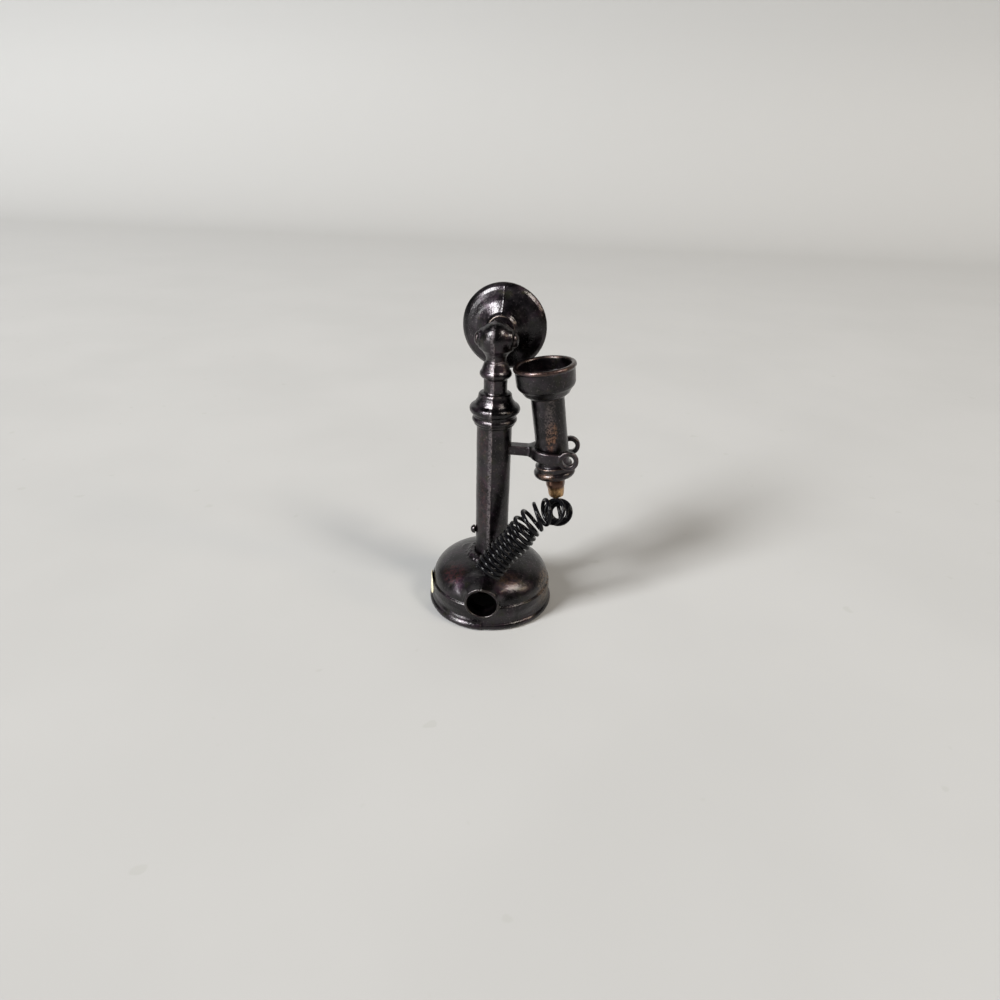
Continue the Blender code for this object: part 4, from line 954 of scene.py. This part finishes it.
def add_receiver():
    seat = CAP_SEAT
    section = [(0, seat + 0.0018), (0.0022, seat + 0.0018), (0.0024, seat + 0.0016),
               (0.0024, seat - 0.00015), (HANDLE_R, seat - 0.00015), (HANDLE_R, 0.004),
               (HANDLE_R, -0.0024), (0.0041, -0.0029), (0.0046, -0.0031), (0.0046, -0.0038)]
    section += arc(0.00415, -0.0052, 0.0010, 65, -75, 16)
    section += [(0.0036, -0.0066), (0.0027, -0.0069), (0.0014, -0.0070), (0.00135, -0.0044),
                (0, -0.0044)]
    # the pale patch down the handle's front is a painted highlight; the copper and brown patches
    # are wear and stains
    patches = [((-0.0143, 0.0042, 0.0500), (0.0017, 0.0028, 0.0048), COPPER_WEAR, 0.6),
               ((-0.0136, 0.0042, 0.0550), (0.0016, 0.0030, 0.0080), PAINTED_SHEEN, 0.5),
               ((-0.0140, 0.0045, 0.0390), (0.0040, 0.0040, 0.0020), BROWN_BRONZE, 0.9)]
    turned("receiver_handle_turned", finer(rounded(section, 0.0004), 0.0008), RECEIVER,
           bronze("handle_bronze", patches, 0.5, 13.0), "receiver", "receiver_handle", 112,
           dented(0.00002, 0.005, 41))

    rim, bowl, top = CAP_RIM_ROUND, CAP_BOWL_R, CAP_TOP
    cap = [(0, 0.0166), (0.0020, 0.0166), (bowl - 0.0018, 0.0170), (bowl - 0.0004, 0.0178),
           (bowl, 0.0190), (bowl, top - rim)]
    cap += arc(CAP_RIM_R - rim, top - rim, rim, 165, -60, 16)
    cap += [(CAP_R, top - 2 * rim - 0.0002), (0.00712, 0.0190), (0.00705, 0.0176),
            (0.00680, 0.0169), (0.0062, 0.0163), (0.0054, 0.0151), (0.0046, 0.0145),
            (0.0043, 0.0143), (HANDLE_R + 0.0001, 0.0143), (HANDLE_R + 0.0001, seat),
            (0.00255, seat), (0.00255, seat + 0.0019), (0, seat + 0.0019)]
    turned("receiver_cap_turned", finer(rounded(cap, 0.0005), 0.0008), RECEIVER,
           bronze("cap_bronze", (), 0.85, 15.0, wear_and_shine_to=(0.34, 0.20, 0.15)), "receiver",
           "receiver_cap", 128, dented(0.00003, 0.006, 43))

    top, foot, stem = NUB_TOP, NUB_FOOT, NUB_STEM_R
    nub = [(0, -0.0045), (stem, -0.0045), (stem, top), (0.0020, top), (0.00222, top - 0.0003),
           (0.00238, top - 0.0011), (0.00232, top - 0.0018), (0.00210, top - 0.0025),
           (0.00195, foot + 0.0010), (0.0018, foot + 0.0001), (0.0014, foot), (0, foot)]

    def crimp(points):
        angle = np.arctan2(points[:, 1], points[:, 0])
        r = np.hypot(points[:, 0], points[:, 1])
        facets = 0.035 * np.cos(5 * angle + 0.7) + 0.03 * waves(points, 0.0018, 47)
        factor = 1 + np.where(points[:, 2] < top, facets, 0) * np.clip(r / 0.002, 0, 1)
        return np.stack([points[:, 0] * factor, points[:, 1] * factor, points[:, 2]], 1)

    n = Nodes("ferrule_brass", 1.0, 0.35)
    cloud = n.noise(600, 4, 0.6, seed=17)
    spots = n.noise(2200, 3, 0.6, seed=18)
    height = n.along(2, 0.0346, 0.0360)
    colour = n.mix(n.ramp(cloud, 0.35, 0.65), (0.34, 0.19, 0.09), (0.62, 0.40, 0.20))
    colour = n.mix(height, colour, (0.12, 0.068, 0.050))
    colour = n.mix(n.times(n.ramp(spots, 0.5, 0.7), 0.6), colour, (0.05, 0.03, 0.02))
    n.bump((spots, 0.00005, 0.5), (cloud, 0.0001, 0.4))
    turned("cord_ferrule_crimped", finer(rounded(nub, 0.0002), 0.0003), RECEIVER,
           n.finish(colour, n.ramp(spots, 0.3, 0.7, 0.28, 0.5)), "receiver", "cord_ferrule", 72,
           crimp)


# ---- label
def add_label():
    """A blank slip of cream paper with round ends, stuck to the skirt and lifting at the top."""
    low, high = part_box("blank_label")
    tall = (high[2] - low[2]) * 0.84
    span = math.radians(22.0)
    flare = (FOOT_R - 0.0006 - SKIRT_R) / (SKIRT_TOP - FOOT_BEAD)
    rows, columns = 24, 24
    verts, faces = [], []
    for thick in (0.00012, 0.00027):
        for i in range(rows + 1):
            v = i / rows
            z = low[2] + tall * v
            for k in range(columns + 1):
                u = 2 * k / columns - 1
                width = max(0.3, (1 - abs(2 * v - 1) ** 3) ** (1 / 3))
                angle = math.radians(14.0) + span * u * width / 2
                curl = 0.00005 * math.sin(7 * v + 2 * u)
                radius = SKIRT_R + flare * max(0.0, SKIRT_TOP - z) + thick + curl
                verts.append((radius * math.cos(angle) + AXIS_X,
                              radius * math.sin(angle) + AXIS_Y, z))
    wide = columns + 1
    layer = (rows + 1) * wide
    for i in range(rows):
        for k in range(columns):
            a = i * wide + k
            faces.append((a, a + wide, a + wide + 1, a + 1))
            faces.append((a + layer, a + 1 + layer, a + wide + 1 + layer, a + wide + layer))
    rim = list(range(wide)) + [i * wide + columns for i in range(1, rows + 1)]
    rim += [rows * wide + k for k in range(columns - 1, -1, -1)]
    rim += [i * wide for i in range(rows - 1, 0, -1)]
    for a, b in zip(rim, rim[1:] + rim[:1]):
        faces.append((a, b, b + layer, a + layer))
    n = Nodes("label_paper", 0.0, 0.7, (0.78, 0.74, 0.55))
    fibres = n.noise(1500, 4, 0.6, seed=21)
    age = n.noise(260, 3, 0.5, seed=22)
    colour = n.mix(n.ramp(age, 0.35, 0.7), (0.80, 0.76, 0.58), (0.66, 0.60, 0.40))
    colour = n.mix(n.times(n.ramp(fibres, 0.5, 0.75), 0.3), colour, (0.55, 0.50, 0.34))
    n.bump((fibres, 0.00003, 0.4))
    label = mesh_object("paper_label", verts, faces, n.finish(colour, 0.72), "stand",
                        "blank_label")


# ---- kept nodes
def metal(name, dark, light, rough, seed, stretch=(1, 1, 1)):
    n = Nodes(name, 1.0, 0.3)
    cloud = n.noise(500, 4, 0.6, seed=seed, stretch=stretch)
    fine = n.noise(3000, 3, 0.6, seed=seed + 1, stretch=stretch)
    colour = n.mix(n.ramp(cloud, 0.3, 0.7), dark, light)
    n.bump((fine, 0.00002, 0.4))
    return n.finish(colour, n.ramp(cloud, 0.3, 0.7, *rough))


def dress(node, mat):
    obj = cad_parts[node]
    obj.data.materials.clear()
    obj.data.materials.append(mat)


def add_kept():
    dress("sharpener_body", metal("insert_zinc", (0.20, 0.20, 0.21), (0.36, 0.36, 0.37),
                                  (0.35, 0.55), 31))
    dress("sharpener_blade", metal("blade_steel", (0.42, 0.42, 0.43), (0.62, 0.62, 0.63),
                                   (0.16, 0.30), 33, (1, 0.1, 1)))
    screws = metal("screw_steel", (0.36, 0.36, 0.37), (0.58, 0.57, 0.55), (0.25, 0.42), 35)
    for node in ("blade_screw", "sharpener_screw_left", "sharpener_screw_right"):
        dress(node, screws)
    dress("cord_bush", metal("bush_bronze", (0.020, 0.016, 0.018), (0.045, 0.034, 0.034),
                             (0.3, 0.5), 37))


add_base()
add_column()
add_pins()
add_transmitter()
add_hook()
add_receiver()
add_label()
add_kept()


# ---- stage
def add_stage():
    """A pale floor that bends up into a backdrop behind the part."""
    floor = bpy.data.meshes.new("floor")
    size, back, bend = 1.6, -0.75, 0.3
    rows = [(1.2, 0.0), (back, 0.0)]
    rows += [(back - bend * math.sin(a), bend - bend * math.cos(a))
             for a in (math.pi / 2 * k / 12 for k in range(1, 13))]
    rows.append((back - bend, 1.6))
    verts = [(x, y, z) for y, z in rows for x in (-size, size)]
    faces = [(2 * i, 2 * i + 1, 2 * i + 3, 2 * i + 2) for i in range(len(rows) - 1)]
    floor.from_pydata(verts, [], faces)
    floor.shade_smooth()
    n = Nodes("pale_floor", 0.0, 0.6, (0.6, 0.6, 0.58))
    cloud = n.noise(14, 3, 0.5, seed=41)
    n.set("Specular IOR Level", 0.2)
    near = n.mix(n.ramp(cloud, 0.3, 0.7), (0.406, 0.408, 0.404), (0.423, 0.425, 0.421))
    specks = n.ramp(n.noise(170, 1, 0.5, seed=43), 0.74, 0.78)
    near = n.mix(n.times(specks, 0.3), near, (0.34, 0.34, 0.32))
    far = n.along(1, -0.15, -0.90)
    floor.materials.append(n.finish(n.mix(far, near, (0.382, 0.384, 0.380))))
    added("floor", floor)


# name, azimuth (0 behind the camera, more to its right), elevation, distance, size, watts, colour
LAMPS = (("key", -56, 38, 4.0, (1.0, 1.5), 240, (1, 1, 1)),
         ("side", 60, 47, 4.0, (0.7, 1.3), 80, (1.0, 0.92, 0.82)),
         ("right", 74, 27, 4.0, (0.5, 0.5), 20, (1.0, 0.80, 0.58)),
         ("low_left", -54, 10, 2.2, (0.8, 0.5), 18, (1, 1, 1)))
WORLD_STRENGTH = 0.06


def lamp(name, azimuth, elevation, distance, size, power, colour):
    """A soft lamp that looks at the middle of the part."""
    a, e = math.radians(azimuth), math.radians(elevation)
    aim = Vector((AXIS_X, AXIS_Y, 0.040))
    way = (RIGHT * math.sin(a) - AWAY * math.cos(a)) * math.cos(e) + Vector((0, 0, math.sin(e)))
    data = bpy.data.lights.new(name, "AREA")
    data.shape = "RECTANGLE"
    data.size, data.size_y = size
    data.energy = power
    data.color = colour
    added(name, data).matrix_world = (Matrix.Translation(aim + way * distance)
                                      @ way.to_track_quat("Z", "Y").to_matrix().to_4x4())


def add_light():
    """The lamps and a dim plain world, which only the camera sees as pale as the floor."""
    world = bpy.data.worlds.new("studio")
    bpy.context.scene.world = world
    world.use_nodes = True
    tree = world.node_tree
    shade = tree.nodes["Background"]
    shade.inputs["Color"].default_value = (0.95, 0.97, 1.0, 1)
    shade.inputs["Strength"].default_value = WORLD_STRENGTH
    seen = tree.nodes.new("ShaderNodeBackground")
    seen.inputs["Color"].default_value = (0.60, 0.60, 0.58, 1)
    ray = tree.nodes.new("ShaderNodeLightPath")
    mix = tree.nodes.new("ShaderNodeMixShader")
    tree.links.new(ray.outputs["Is Camera Ray"], mix.inputs["Fac"])
    tree.links.new(shade.outputs["Background"], mix.inputs[1])
    tree.links.new(seen.outputs["Background"], mix.inputs[2])
    tree.links.new(mix.outputs["Shader"], tree.nodes["World Output"].inputs["Surface"])
    for row in LAMPS:
        lamp(*row)


add_stage()
add_light()
bpy.context.scene.view_settings.view_transform = "Standard"
